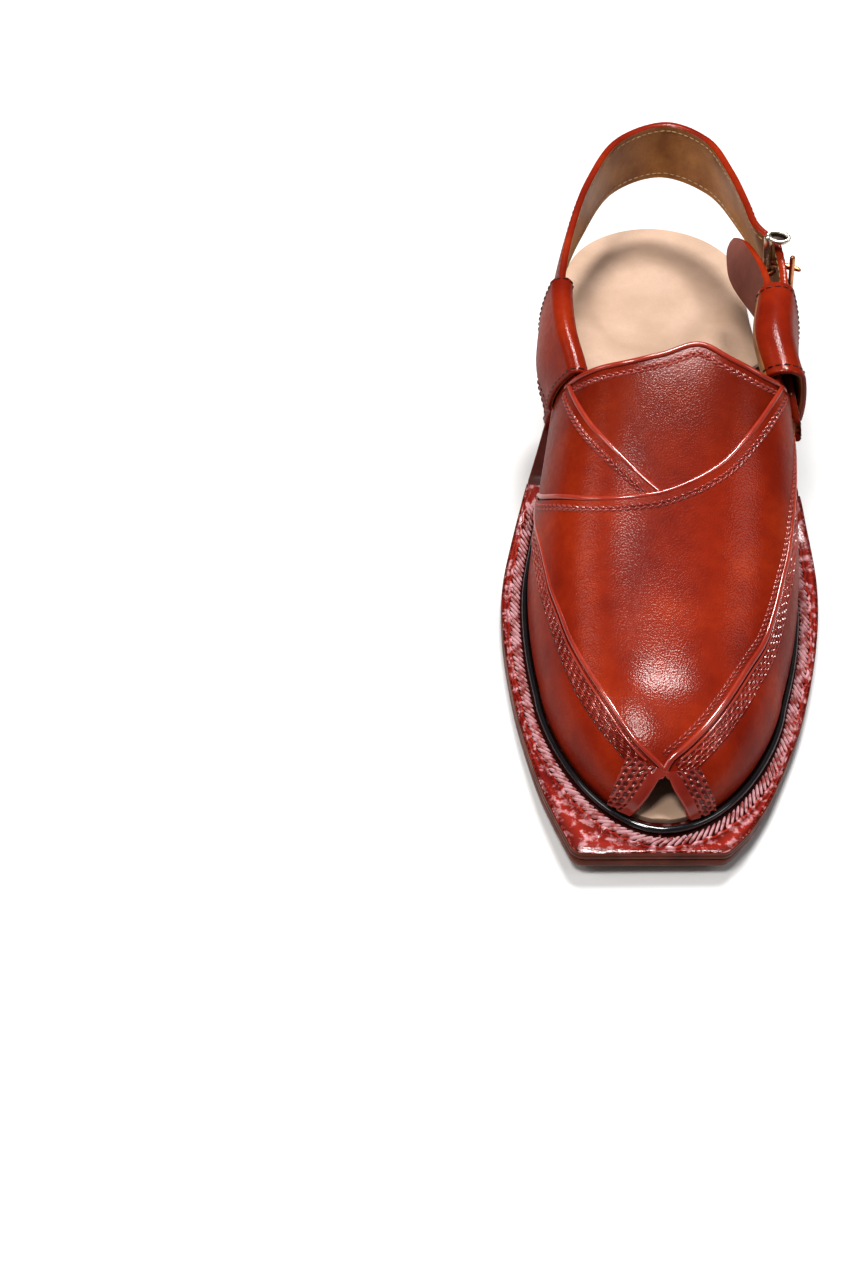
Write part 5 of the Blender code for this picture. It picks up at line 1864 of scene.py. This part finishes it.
# ---- the bottom: sole, welt, insole and heel -----------------------------------------------
@dataclass
class Bottom:
    """Outsole, midsole, welt with its tooling, piping, insole and stacked heel."""

    edge: Material
    margin: Material
    tread: Material
    welt: Material
    rib: Material
    piping: Material
    sock: Material
    lifts: list[Material]
    rubber: Material
    cream: Material
    ink: Material
    welt_drop: float = 1.9
    welt_end: float = 12.5
    bead: float = 2.3
    bead_stand: float = 0.5
    rib_reach: float = 5.3
    rib_length: float = 5.9
    rib_pitch: float = 2.2
    rib_lean: float = 35.0
    insole: float = 2.5
    top_piece: float = 6.2
    lift_count: int = 4
    breast_hollow: float = 5.5
    margin_width: float = 8.0

    def build(self) -> None:
        """Build the whole bottom."""
        self.build_outsole()
        self.build_midsole()
        self.build_welt()
        self.build_piping()
        self.build_insole()
        self.build_heel()
        self.build_tread_marks()

    def edge_distance(self, x: Array, y: Array) -> Array:
        """Distance in millimetres from points to the sole's outline.

        Args:
            x: places across the shoe.
            y: places along it.

        Returns:
            Distances in the shape of `x`.
        """
        left, right = FORM.sides()
        toe = left[0] + (right[0] - left[0]) * np.linspace(0, 1, 30)[:, None]
        ring = np.vstack([evenly(left, 260), evenly(right, 260), toe])
        flat = np.stack([x.ravel(), y.ravel()], 1)
        near = np.array([np.min(np.hypot(ring[:, 0] - p[0], ring[:, 1] - p[1])) for p in flat])
        return near.reshape(x.shape)

    def build_outsole(self) -> None:
        """Leather outsole; the attribute `pit` marks its dyed margin underneath."""
        piece = Piece("outsole_leather", Slot.EDGE, [self.tread, self.edge])

        def mark(x: Array, y: Array) -> Array:
            """One at the margin, zero inside it."""
            return soft(self.margin_width + 0.5 - self.edge_distance(x, y))

        plate(piece, FORM.sides, FORM.tread, FORM.outsole_top, 0.8, 60, (0, 1, 1), mark=mark,
              bulge=0.15)
        piece.make(38, heal=0.003, replaces=["outsole"])

    def build_midsole(self) -> None:
        """Midsole, with the step for the welt round the forefoot."""
        piece = Piece("midsole_leather", Slot.EDGE, [self.edge, self.margin])

        def high(y: Array) -> Array:
            """The midsole's face, lowered under the welt."""
            y = np.asarray(y, float)
            step = soft((self.welt_end + 0.6 - y) / 0.6)
            return FORM.midsole_top(y) - (self.welt_drop + GAP * 0.4) * step

        plate(piece, FORM.sides, lambda y: FORM.outsole_top(y) + 0.12, high, 0.5, 12,
              (0, 0, 1), bulge=0.1)
        piece.make(38, heal=0.003, replaces=["midsole"])

    def welt_rows(self) -> tuple[Array, Array, Array]:
        """Matched points of the sole's edge and of the vamp's foot, round the forefoot.

        Returns:
            Points on the edge, points on the feather line and inward normals there.
        """
        feather = evenly(LAST.feather(), 2400)
        left, right = FORM.sides()
        toe = between(left[0], right[0], 40)
        keep_l, keep_r = left[left[:, 1] < self.welt_end], right[right[:, 1] < self.welt_end]
        ends = [np.array([[float(e(self.welt_end)), self.welt_end]])
                for e in (medial_edge, lateral_edge)]
        ring = evenly(np.vstack([ends[0], keep_l[::-1], toe, keep_r, ends[1]]), 620)
        near = np.array([np.argmin(np.hypot(*(feather - p).T)) for p in ring], float)
        near = np.maximum.accumulate(near)
        kernel = np.hanning(41)
        kernel /= kernel.sum()
        padded = np.concatenate([2 * near[0] - near[1:21][::-1], near,
                                 2 * near[-1] - near[-21:-1][::-1]])
        near = np.convolve(padded, kernel, "valid")
        order = np.arange(len(feather))
        foot = np.stack([np.interp(near, order, feather[:, c]) for c in (0, 1)], 1)
        return ring, foot, normals_to(foot)

    def on_welt(self, reach: float | Array) -> Array:
        """Points of the welt at `reach` from the vamp, negative under it."""
        edge, foot, normal = self.rows
        reach = np.broadcast_to(np.asarray(reach, float), (len(edge),))[:, None]
        return np.where(reach < 0, foot - normal * reach, foot + unit(edge - foot) * reach)

    def build_welt(self) -> None:
        """Welt with a gutter, a waved ridge and a row of slanting ribs."""
        self.rows = self.welt_rows()
        edge, foot, _ = self.rows
        wide = np.linalg.norm(edge - foot, axis=1)
        s = run_of(edge)
        ridge = np.minimum(self.rib_reach + 2.15, wide - 2.0)
        wave = 0.32 * np.sin(2 * math.pi * s / 5.2) + 0.15 * np.sin(2 * math.pi * s / 13.0)
        profile = [(-5.0, -1.9), (-5.0, 0.0), (2.2, 0.0), (3.2, -0.45), (4.4, -0.62),
                   (self.rib_reach, -0.75), (ridge - 0.7 + wave, -0.55),
                   (ridge - 0.2 + wave, -0.12), (ridge + 0.25 + wave, -0.12),
                   (ridge + 0.75 + wave * 0.7, -0.62), ((ridge + wide) / 2 + 0.2, -0.55),
                   (wide - 0.95, -0.62 + 0.05 * np.sin(s / 3.1)), (wide - 0.35, -0.78),
                   (wide, -1.15), (wide, -1.9)]
        lines = []
        for reach, drop in profile:
            flat = self.on_welt(reach)
            fade = np.where(drop > -1.8, soft((self.welt_end - flat[:, 1]) / 12.0), 1.0)
            lines.append(raised(flat, FORM.midsole_top(flat[:, 1]) + drop * fade))
        piece = Piece("welt_leather", Slot.RED, [self.welt, self.edge])
        grid = np.array(lines)
        mark = np.zeros(grid.shape[:2])
        # Painted shade in the gutter round the ribs, fading out toward the welt's end; rows 9, 11
        # and 12 darken toward the outer edge.
        mark[2:7] = soft((self.welt_end - 7.0 - grid[2:7, :, 1]) / 6.0)
        mark[[9, 11, 12]] = np.array([0.6, 0.7, 1.0])[:, None]
        piece.grid(grid[:13], 0, mark[:13])
        piece.grid(grid[12:], 1)
        piece.grid(np.array([grid[-1], grid[0]]), 1)
        for k in (0, -1):
            piece.add(grid[:, k], [tuple(range(len(grid)))])
        piece.make(42, heal=0.003, replaces=["welt"])
        self.build_ribs()

    def build_ribs(self) -> None:
        """Slanting ribs pressed round the welt, which fade out at the waist."""
        line = self.on_welt(self.rib_reach)
        line = line[line[:, 1] < self.welt_end - 9.0]
        spots = evenly(line, int(run_of(line)[-1] / self.rib_pitch))
        ys = np.linspace(-FORM.half_length, 12, 200)
        tilt = np.interp(spots[:, 1], ys, np.gradient(FORM.midsole_top(ys), ys))
        up = unit(np.stack([np.zeros(len(spots)), -tilt, np.ones(len(spots))], 1))
        points = raised(spots, FORM.midsole_top(spots[:, 1]) - 0.5)
        # The ribs take the lighter rib finish: painted highlight.
        ribs = Scatter("welt_ribs", Slot.RED, self.rib,
                       grain_of_rice(self.rib_length, 0.95, 1.15, 0.85), 0.05)
        ribs.add(points, np.gradient(points, axis=0), up, self.rib_lean)
        ribs.make()

    def build_piping(self) -> None:
        """Black piping in the corner between vamp and welt."""
        feather = evenly(LAST.feather(), 520)
        centre = feather - normals_to(feather) * (self.bead / 2 + GAP + self.bead_stand)
        z = FORM.midsole_top(centre[:, 1]) + self.bead / 2 + GAP + 0.12
        piece = Piece("piping", Slot.PIPING, [self.piping])
        tube(piece, raised(centre, z), self.bead / 2, 12, (0, 0, 1))
        piece.make(60, heal=0.0, replaces=["rand_bead"])

    def insole_sides(self, inset: float) -> tuple[Array, Array]:
        """Outline of the insole: inside the vamp, inside the loops, and flush at the heel.

        Args:
            inset: distance to stay inside it.

        Returns:
            Inner side and outer side, each (n, 2).
        """
        feather = LAST.feather(0.8)
        half = len(feather) // 2
        front, toe_from, clear = -133.0, -85.0, 4.4
        hem_y = np.array([20, 27, 40, 52, 61.5, 63.5, 72, 84, 97, 104.0])
        hem_d = np.array([4.4, 5.4, 5.4, 5.4, 5.4, 0.9, 0.5, 0.5, 0.5, 0.5])
        ys = np.concatenate([front + 26 * (1 - np.cos(np.linspace(0, 1.5, 40))),
                             np.linspace(-102, 104, 110)])
        r, a = FORM.seat_radius - 0.5, np.linspace(0, math.pi / 2, 37)[1:]
        sides = []
        for sign, line, edge in ((-1, feather[:half], medial_edge),
                                 (1, feather[half + 1:][::-1], lateral_edge)):
            line = line[np.argsort(line[:, 1])]
            x = np.interp(ys, line[:, 1], line[:, 0]) - sign * clear
            u = np.clip((toe_from - ys) / 48.2, 0, 1)
            x_front = np.interp(toe_from, line[:, 1], line[:, 0]) - sign * clear
            x = np.where(ys < toe_from, x_front * np.sqrt(np.clip(1 - u ** 1.4, 0, 1)), x)
            rear = edge(ys) - sign * np.interp(ys, hem_y, hem_d)
            blend = soft((ys - 12.0) / 8.0)
            side = np.stack([x * (1 - blend) + rear * blend, ys], 1)
            side[-1] = (sign * r, 106.0)
            seat = np.stack([sign * r * np.cos(a), FORM.seat_y + r * np.sin(a)], 1)
            sides.append(np.vstack([side, seat]))
        left, right = sides
        if inset:
            mid = (left + right) / 2
            for line in (left, right):
                away = line - mid
                size = np.linalg.norm(away, axis=1, keepdims=True)
                line -= away / np.maximum(size, 1e-6) * np.minimum(inset, size)
                line[0, 1] += inset
                line[-1, 1] -= inset
        return left, right

    def build_insole(self) -> None:
        """Leather sock with a shallow hollow for the heel and soft creases at the waist."""
        piece = Piece("insole_leather", Slot.TAN, [self.sock])

        def relief(x: Array, y: Array) -> Array:
            """Hollow of the heel, the hollow of the forefoot, and two soft creases."""
            heel = np.hypot(x / 28.5, (y - 100.0) / 36.0)
            hollow = -0.9 * soft((1.0 - heel) / 0.16)
            ball = np.hypot(x / 38.0, (y + 48.0) / 62.0)
            hollow = hollow - 0.7 * soft((1.0 - ball) / 0.8)
            crease = 0.22 * np.exp(-((y - 38 - 0.12 * x) / 3.4) ** 2) * np.sin(x / 7.0 + 1.0)
            return hollow + crease

        def ring_and_shade(x: Array, y: Array) -> Array:
            """Darker ring round the heel's hollow, and painted shade towards the waist."""
            ring = np.hypot((x + 3.0) / 23.0, (y - 97.0) / 30.0)
            heel_ring = np.exp(-((ring - 1.0) / 0.2) ** 2) * (0.5 + 0.25 * np.sin(3.0 * x / 23.0))
            return 0.4 * heel_ring + 0.3 * soft((60.0 - y) / 60.0) * soft((y + 20.0) / 40.0)

        plate(piece, self.insole_sides, lambda y: FORM.midsole_top(y) + GAP,
              lambda y: FORM.midsole_top(y) + GAP + self.insole, 0.35, 60, relief=relief,
              mark=ring_and_shade)
        piece.make(45, heal=0.003, replaces=["insole"])

    def build_heel(self) -> None:
        """Four leather lifts and the black rubber top piece, their front face hollowed."""
        sides = partial(FORM.sides, behind=FORM.breast_y)
        piece = Piece("heel_top_piece_rubber", Slot.RUBBER, [self.rubber])
        plate(piece, sides, lambda y: 0.0 * y, lambda y: 0.0 * y + self.top_piece, 0.5, 24,
              hollow=self.breast_hollow)
        piece.make(40, heal=0.003, replaces=["heel_top_piece"])
        base = self.top_piece + 0.1
        top = float(FORM.tread(FORM.breast_y)) - 0.1
        each = (top - base) / self.lift_count
        slope = FORM.seat_gain / (FORM.half_length - FORM.breast_y)
        for k in range(self.lift_count):
            low, high = base + k * each, base + (k + 1) * each - 0.06
            tilt = slope if k == self.lift_count - 1 else 0.0
            name = "heel_lift_%d" % (k + 1)
            piece = Piece(name + "_leather", Slot.EDGE, [self.lifts[k % len(self.lifts)]])
            plate(piece, sides, lambda y, z=low: z + 0.0 * y,
                  lambda y, z=high, t=tilt: z + t * (y - FORM.breast_y), 0.22, 24,
                  hollow=self.breast_hollow, bulge=0.08)
            piece.make(40, heal=0.003, replaces=[name])

    def build_tread_marks(self) -> None:
        """Lockstitch inside the margin, and a stamped border of flowers and diamonds."""
        left, right = FORM.sides(self.margin_width + 2.2)
        ok_l, ok_r = left[left[:, 1] < 58], right[right[:, 1] < 58]
        ring = np.vstack([ok_l[::-1], between(ok_l[0], ok_r[0], 30), ok_r,
                          between(ok_r[-1], ok_l[-1], 40)])
        stitches = Scatter("sole_stitches", Slot.EDGE, self.cream,
                           grain_of_rice(3.3, 0.95, 0.45), 0.05)
        self.lay(stitches, ring, 3.1, 12.0, sink=0.38)
        stitches.make()
        left, right = FORM.sides(self.margin_width + 10.5)
        ok_l, ok_r = left[left[:, 1] < 50], right[right[:, 1] < 50]
        border = np.vstack([ok_l[::-1], between(ok_l[0], ok_r[0], 12), ok_r])
        for name, shape, start in (("sole_flowers", flower_stamp(), 0),
                                   ("sole_diamonds", diamond_stamp(), 1)):
            stamps = Scatter(name, Slot.EDGE, self.ink, shape, 0.02)
            self.lay(stamps, border, 13.5, 0.0, start, 2)
            stamps.make()

    def lay(self, scatter: Scatter, line: Array, pitch: float, lean: float, start: int = 0,
            every: int = 1, sink: float = -0.02) -> None:
        """Put shapes along a flat line on the underside, facing down.

        Args:
            scatter: gathers the shapes.
            line: (n, 2) points.
            pitch: distance between shapes.
            lean: turn of each in degrees.
            start: first place used.
            every: step between places.
            sink: how far they are pressed in.
        """
        spots = evenly(line, int(run_of(line)[-1] / pitch))
        slope = FORM.tread(spots[:, 1] + 0.5) - FORM.tread(spots[:, 1] - 0.5)
        down = unit(np.stack([np.zeros(len(spots)), slope, -np.ones(len(spots))], 1))
        points = raised(spots, FORM.tread(spots[:, 1]))
        along = np.gradient(points, axis=0)
        pick = slice(start, None, every)
        scatter.add(points[pick] - down[pick] * sink, along[pick], down[pick], lean)


def flower_stamp() -> Shape:
    """Make a flower of four petals with dots between them and one in the middle.

    Returns:
        Its points and its faces.
    """
    size = 10.5
    verts, faces = [], []

    def disc(x: float, y: float, a: float, b: float, turn: float) -> None:
        """A filled oval.

        Args:
            x: middle.
            y: middle.
            a: half length.
            b: half width.
            turn: angle of the length in radians.
        """
        start = len(verts)
        for k in range(12):
            t = 2 * math.pi * k / 12
            px, py = a * math.cos(t), b * math.sin(t)
            verts.append((x + px * math.cos(turn) - py * math.sin(turn),
                          y + px * math.sin(turn) + py * math.cos(turn), 0.03))
        faces.append(tuple(range(start, start + 12)))

    for k in range(4):
        a = math.pi / 4 + math.pi / 2 * k
        disc(math.cos(a) * size * 0.27, math.sin(a) * size * 0.27, size * 0.19, size * 0.105, a)
        b = math.pi / 2 * k
        disc(math.cos(b) * size * 0.36, math.sin(b) * size * 0.36, size * 0.05, size * 0.05, 0)
    disc(0, 0, size * 0.06, size * 0.06, 0)
    return np.array(verts), faces


def diamond_stamp() -> Shape:
    """Make three diamonds, one inside the other, each a closed line of ink.

    Returns:
        Its points and its faces.
    """
    size = 11.0
    verts, faces = [], []
    for share in (1.0, 0.62, 0.28):
        tips = [np.array([math.cos(a), math.sin(a)]) * size / 2 * share
                for a in (math.pi / 2 * k for k in range(5))]
        ring = np.array([p + (q - p) * u for p, q in zip(tips, tips[1:])
                         for u in (0.0, 0.33, 0.66)])
        start, n = len(verts), len(ring)
        for half in (0.375, -0.375):
            verts += [(*p, 0.03) for p in inward(ring, half)]
        faces += [(start + i, start + (i + 1) % n, start + n + (i + 1) % n, start + n + i)
                  for i in range(n)]
    return np.array(verts), faces


# ---- studio ------------------------------------------------------------------------------
class Lamp(NamedTuple):
    """A soft square light that looks at the shoe."""

    name: str
    azimuth: float
    elevation: float
    distance: float
    size: float
    power: float
    colour: Colour


@dataclass
class Studio:
    """Pale floor, soft lights and the camera."""

    lamps: Sequence[Lamp]
    floor: Colour = (0.60, 0.596, 0.592)
    world: Colour = (0.95, 0.96, 1.0)
    world_strength: float = 0.16
    azimuth: float = 5.69
    elevation: float = 49.89
    distance: float = 529.46
    target: Spot = (-81.36, -53.60, 0.0)
    roll: float = -1.44
    lens: float = 42.19

    def build(self) -> None:
        """Build all of it."""
        self.build_floor()
        self.build_world()
        for lamp in self.lamps:
            self.build_lamp(lamp)
        self.build_camera()

    def aim(self, azimuth: float, elevation: float) -> Array:
        """Direction from the shoe towards a light or the camera."""
        a, e = math.radians(azimuth), math.radians(elevation)
        return np.array([math.sin(a) * math.cos(e), -math.cos(a) * math.cos(e), math.sin(e)])

    def build_floor(self) -> None:
        """A plain pale floor."""
        size = 6.0
        mesh = bpy.data.meshes.new("studio_floor")
        mesh.from_pydata([(-size, -size, 0), (size, -size, 0), (size, size, 0),
                          (-size, size, 0)], [], [(0, 1, 2, 3)])
        ink = NodeInk("studio_paper")
        ink.set(Base_Color=(*self.floor, 1.0), Roughness=0.9, Specular_IOR_Level=0.1)
        mesh.materials.append(ink.material)
        floor = bpy.data.objects.new("studio_floor", mesh)
        bpy.context.scene.collection.objects.link(floor)

    def build_world(self) -> None:
        """Even pale light from all round."""
        world = bpy.data.worlds.new("studio_world")
        world.use_nodes = True
        back = world.node_tree.nodes["Background"]
        back.inputs["Color"].default_value = (*self.world, 1.0)
        back.inputs["Strength"].default_value = self.world_strength
        bpy.context.scene.world = world
        bpy.context.scene.view_settings.view_transform = "Standard"
        bpy.context.scene.view_settings.look = "Medium High Contrast"

    def build_lamp(self, lamp: Lamp) -> None:
        """One soft light.

        Args:
            lamp: its place, size and power.
        """
        data = bpy.data.lights.new(lamp.name, "AREA")
        data.shape = "DISK"
        data.size = lamp.size
        data.energy = lamp.power
        data.color = lamp.colour
        obj = bpy.data.objects.new(lamp.name, data)
        way = self.aim(lamp.azimuth, lamp.elevation)
        obj.location = Vector(way * lamp.distance)
        obj.rotation_euler = Vector(way).to_track_quat("Z", "Y").to_euler()
        bpy.context.scene.collection.objects.link(obj)

    def build_camera(self) -> None:
        """The camera, from above the toe, rolled a little."""
        back = self.aim(self.azimuth, self.elevation)
        middle = np.array(self.target) + back * self.distance
        right = unit(np.cross(-back, (0.0, 0.0, 1.0)))
        up = np.cross(right, -back)
        a = math.radians(self.roll)
        right, up = (right * math.cos(a) + up * math.sin(a),
                     up * math.cos(a) - right * math.sin(a))
        data = bpy.data.cameras.new("camera")
        data.sensor_fit = "VERTICAL"
        data.sensor_height = 36.0
        data.sensor_width = 36.0
        data.lens = self.lens
        data.clip_start = 0.01
        data.clip_end = 20.0
        obj = bpy.data.objects.new("camera", data)
        obj.matrix_world = Matrix([[right[i], up[i], back[i], middle[i] * MM] for i in range(3)]
                                  + [[0, 0, 0, 1]])
        bpy.context.scene.collection.objects.link(obj)
        bpy.context.scene.camera = obj


# ---- all of it ---------------------------------------------------------------------------
FINISHES = {
    # The red leather carries the painted shade toward the throat.
    "red": PolishedLeather("polished_red_leather", (0.190, 0.0150, 0.0026),
                           (0.128, 0.0078, 0.0016), (0.248, 0.0250, 0.0038), coat=0.15,
                           grain=0.08, painted_shade=True),
    # Rolled edges: a lighter copy of the red leather, painted highlight along the rolls.
    "rolled": PolishedLeather("rolled_edge_leather", (0.25, 0.026, 0.012), (0.18, 0.013, 0.006),
                              (0.30, 0.04, 0.02), 0.34, 0.55, 0.14, 0.0),
    # Tooled leather: painted shade in its pits and between the braid's strands.
    "tooled": PolishedLeather("tooled_red_leather", (0.23, 0.032, 0.020), (0.14, 0.011, 0.006),
                              (0.29, 0.055, 0.04), 0.34, 0.4, 0.16, 0.02, True, depth=0.6),
    # The welt: painted shade in its gutter and painted highlight blotches on its face.
    "welt": PolishedLeather("welt_red_leather", (0.22, 0.014, 0.007), (0.13, 0.006, 0.004),
                            (0.27, 0.028, 0.015), 0.3, 0.26, 0.14, 0.05, True, 0.7, bare=0.5),
    # The ribs: a lighter, pinker copy of the welt's leather with painted glints, painted highlight
    # on the ribs.
    "rib": PolishedLeather("welt_rib_leather", (0.34, 0.09, 0.08), (0.20, 0.03, 0.022),
                           (0.42, 0.18, 0.17), 0.24, 0.5, 0.12, 0.0, glints=0.9, bare=0.42),
    "piping": PlainFinish("black_patent_piping", (0.004, 0.004, 0.005), (0.006, 0.005, 0.005),
                          0.3, coat=1.0, grain=0.0, pitch=1.5, spec=0.1, coat_rough=0.05),
    "lining": NaturalLeather("strap_lining", (0.38, 0.175, 0.055), (0.20, 0.075, 0.022), 0.5,
                             1.1, 0.05, 14.0),
    "flesh": NaturalLeather("flesh_side", (0.22, 0.065, 0.045), (0.12, 0.03, 0.02), 0.6),
    "sock": NaturalLeather("insole_leather_face", (0.47, 0.328, 0.246), (0.36, 0.24, 0.165), 0.6,
                           0.8, 0.03, 30.0, shade=True),
    "tread": NaturalLeather("sole_underside", (0.52, 0.24, 0.08), (0.38, 0.15, 0.045), 0.55,
                            0.7, 0.05, 8.0, shade=True),
    "edge": CutEdge("sole_edge", (0.12, 0.024, 0.011), (0.03, 0.006, 0.003)),
    "margin": CutEdge("tread_margin", (0.07, 0.010, 0.006), (0.03, 0.005, 0.003), 0.45, 0.02),
    "lift_low": CutEdge("lift_deep_red", (0.20, 0.030, 0.012), (0.06, 0.010, 0.006), 0.28, 0.5),
    "lift_high": CutEdge("lift_orange_red", (0.34, 0.065, 0.02), (0.12, 0.02, 0.008), 0.26,
                         0.55),
    "maroon": PlainFinish("maroon_thread", (0.055, 0.006, 0.005), (0.035, 0.004, 0.003), 0.45,
                          coat=0.3, pitch=0.4),
    "tan": PlainFinish("tan_thread", (0.50, 0.34, 0.18), (0.38, 0.24, 0.12), 0.7, pitch=0.4),
    "cream": PlainFinish("cream_thread", (0.75, 0.62, 0.44), (0.6, 0.46, 0.3), 0.7, pitch=0.4),
    "ink": PlainFinish("stamped_ink", (0.09, 0.02, 0.01), (0.05, 0.012, 0.006), 0.5),
    "rubber": PlainFinish("heel_rubber", (0.010, 0.009, 0.009), (0.018, 0.014, 0.013), 0.4,
                          pitch=0.6),
    "brass": PlainFinish("antique_brass", (0.78, 0.72, 0.60), (0.50, 0.42, 0.32), 0.26, 1.0,
                         grain=0.03, pitch=1.2, cloud=3.0),
    # Dark metal for the buckle's inner cups: painted reflection.
    "painted_reflection": PlainFinish("dark_reflection_in_cup", (0.07, 0.05, 0.035), (0.03, 0.02, 0.015), 0.5, 0.6),
    "copper": PlainFinish("worn_copper", (0.62, 0.27, 0.13), (0.30, 0.12, 0.06), 0.3, 1.0,
                          grain=0.03, pitch=1.2, cloud=3.0),
}
LAMPS = [
    Lamp("front_top", -38.0, 68.0, 1.2, 0.26, 8.5, (1.0, 0.995, 0.98)),
    Lamp("sky", 172.0, 74.5, 1.2, 0.29, 13.5, (1.0, 1.0, 1.0)),
    Lamp("left", -80.0, 42.0, 1.6, 0.6, 5.0, (1.0, 0.985, 0.96)),
    Lamp("right", 76.0, 44.0, 1.6, 0.7, 4.5, (0.97, 0.98, 1.0)),
]


def main() -> None:
    """Build the shoe's pieces in the order a maker would, then the studio."""
    logging.basicConfig(level=logging.INFO, format="%(message)s")
    made = {name: finish.material() for name, finish in FINISHES.items()}
    red, lining, maroon = made["red"], made["lining"], made["maroon"]
    Bottom(*(made[key] for key in ("edge", "margin", "tread", "welt", "rib", "piping", "sock")),
           [made["lift_low"], made["lift_high"]], made["rubber"], made["cream"],
           made["ink"]).build()
    upper = Upper(red, made["rolled"], made["tooled"], lining, made["flesh"], maroon,
                  made["tan"])
    upper.build()
    turn = int(np.argmax(upper.heel[:, 0, 1]))
    inner, tail, guard = upper.heel[:turn], upper.heel[turn:], upper.guard[:-14]
    middle = upper.heel.shape[1] // 2
    Loop("medial_loop", -1, 8.0, 41.0, 33.0, 61.0, red, lining, maroon).build(
        [inner[:, 0], inner[:, -1], inner[:, 0], inner[:, -1], inner[:, middle]], (6.5, 5.5))
    Loop("lateral_loop", 1, 10.0, 38.0, 27.0, 57.0, red, lining, maroon, seam=39).build(
        [guard[:, 0], guard[:, -1], tail[:, 0], tail[:, -1], tail[:, middle]], (8.5, 5.0))
    Buckle(made["brass"], made["painted_reflection"], made["copper"]).build()
    Studio(LAMPS).build()


if __name__ == "__main__":
    main()
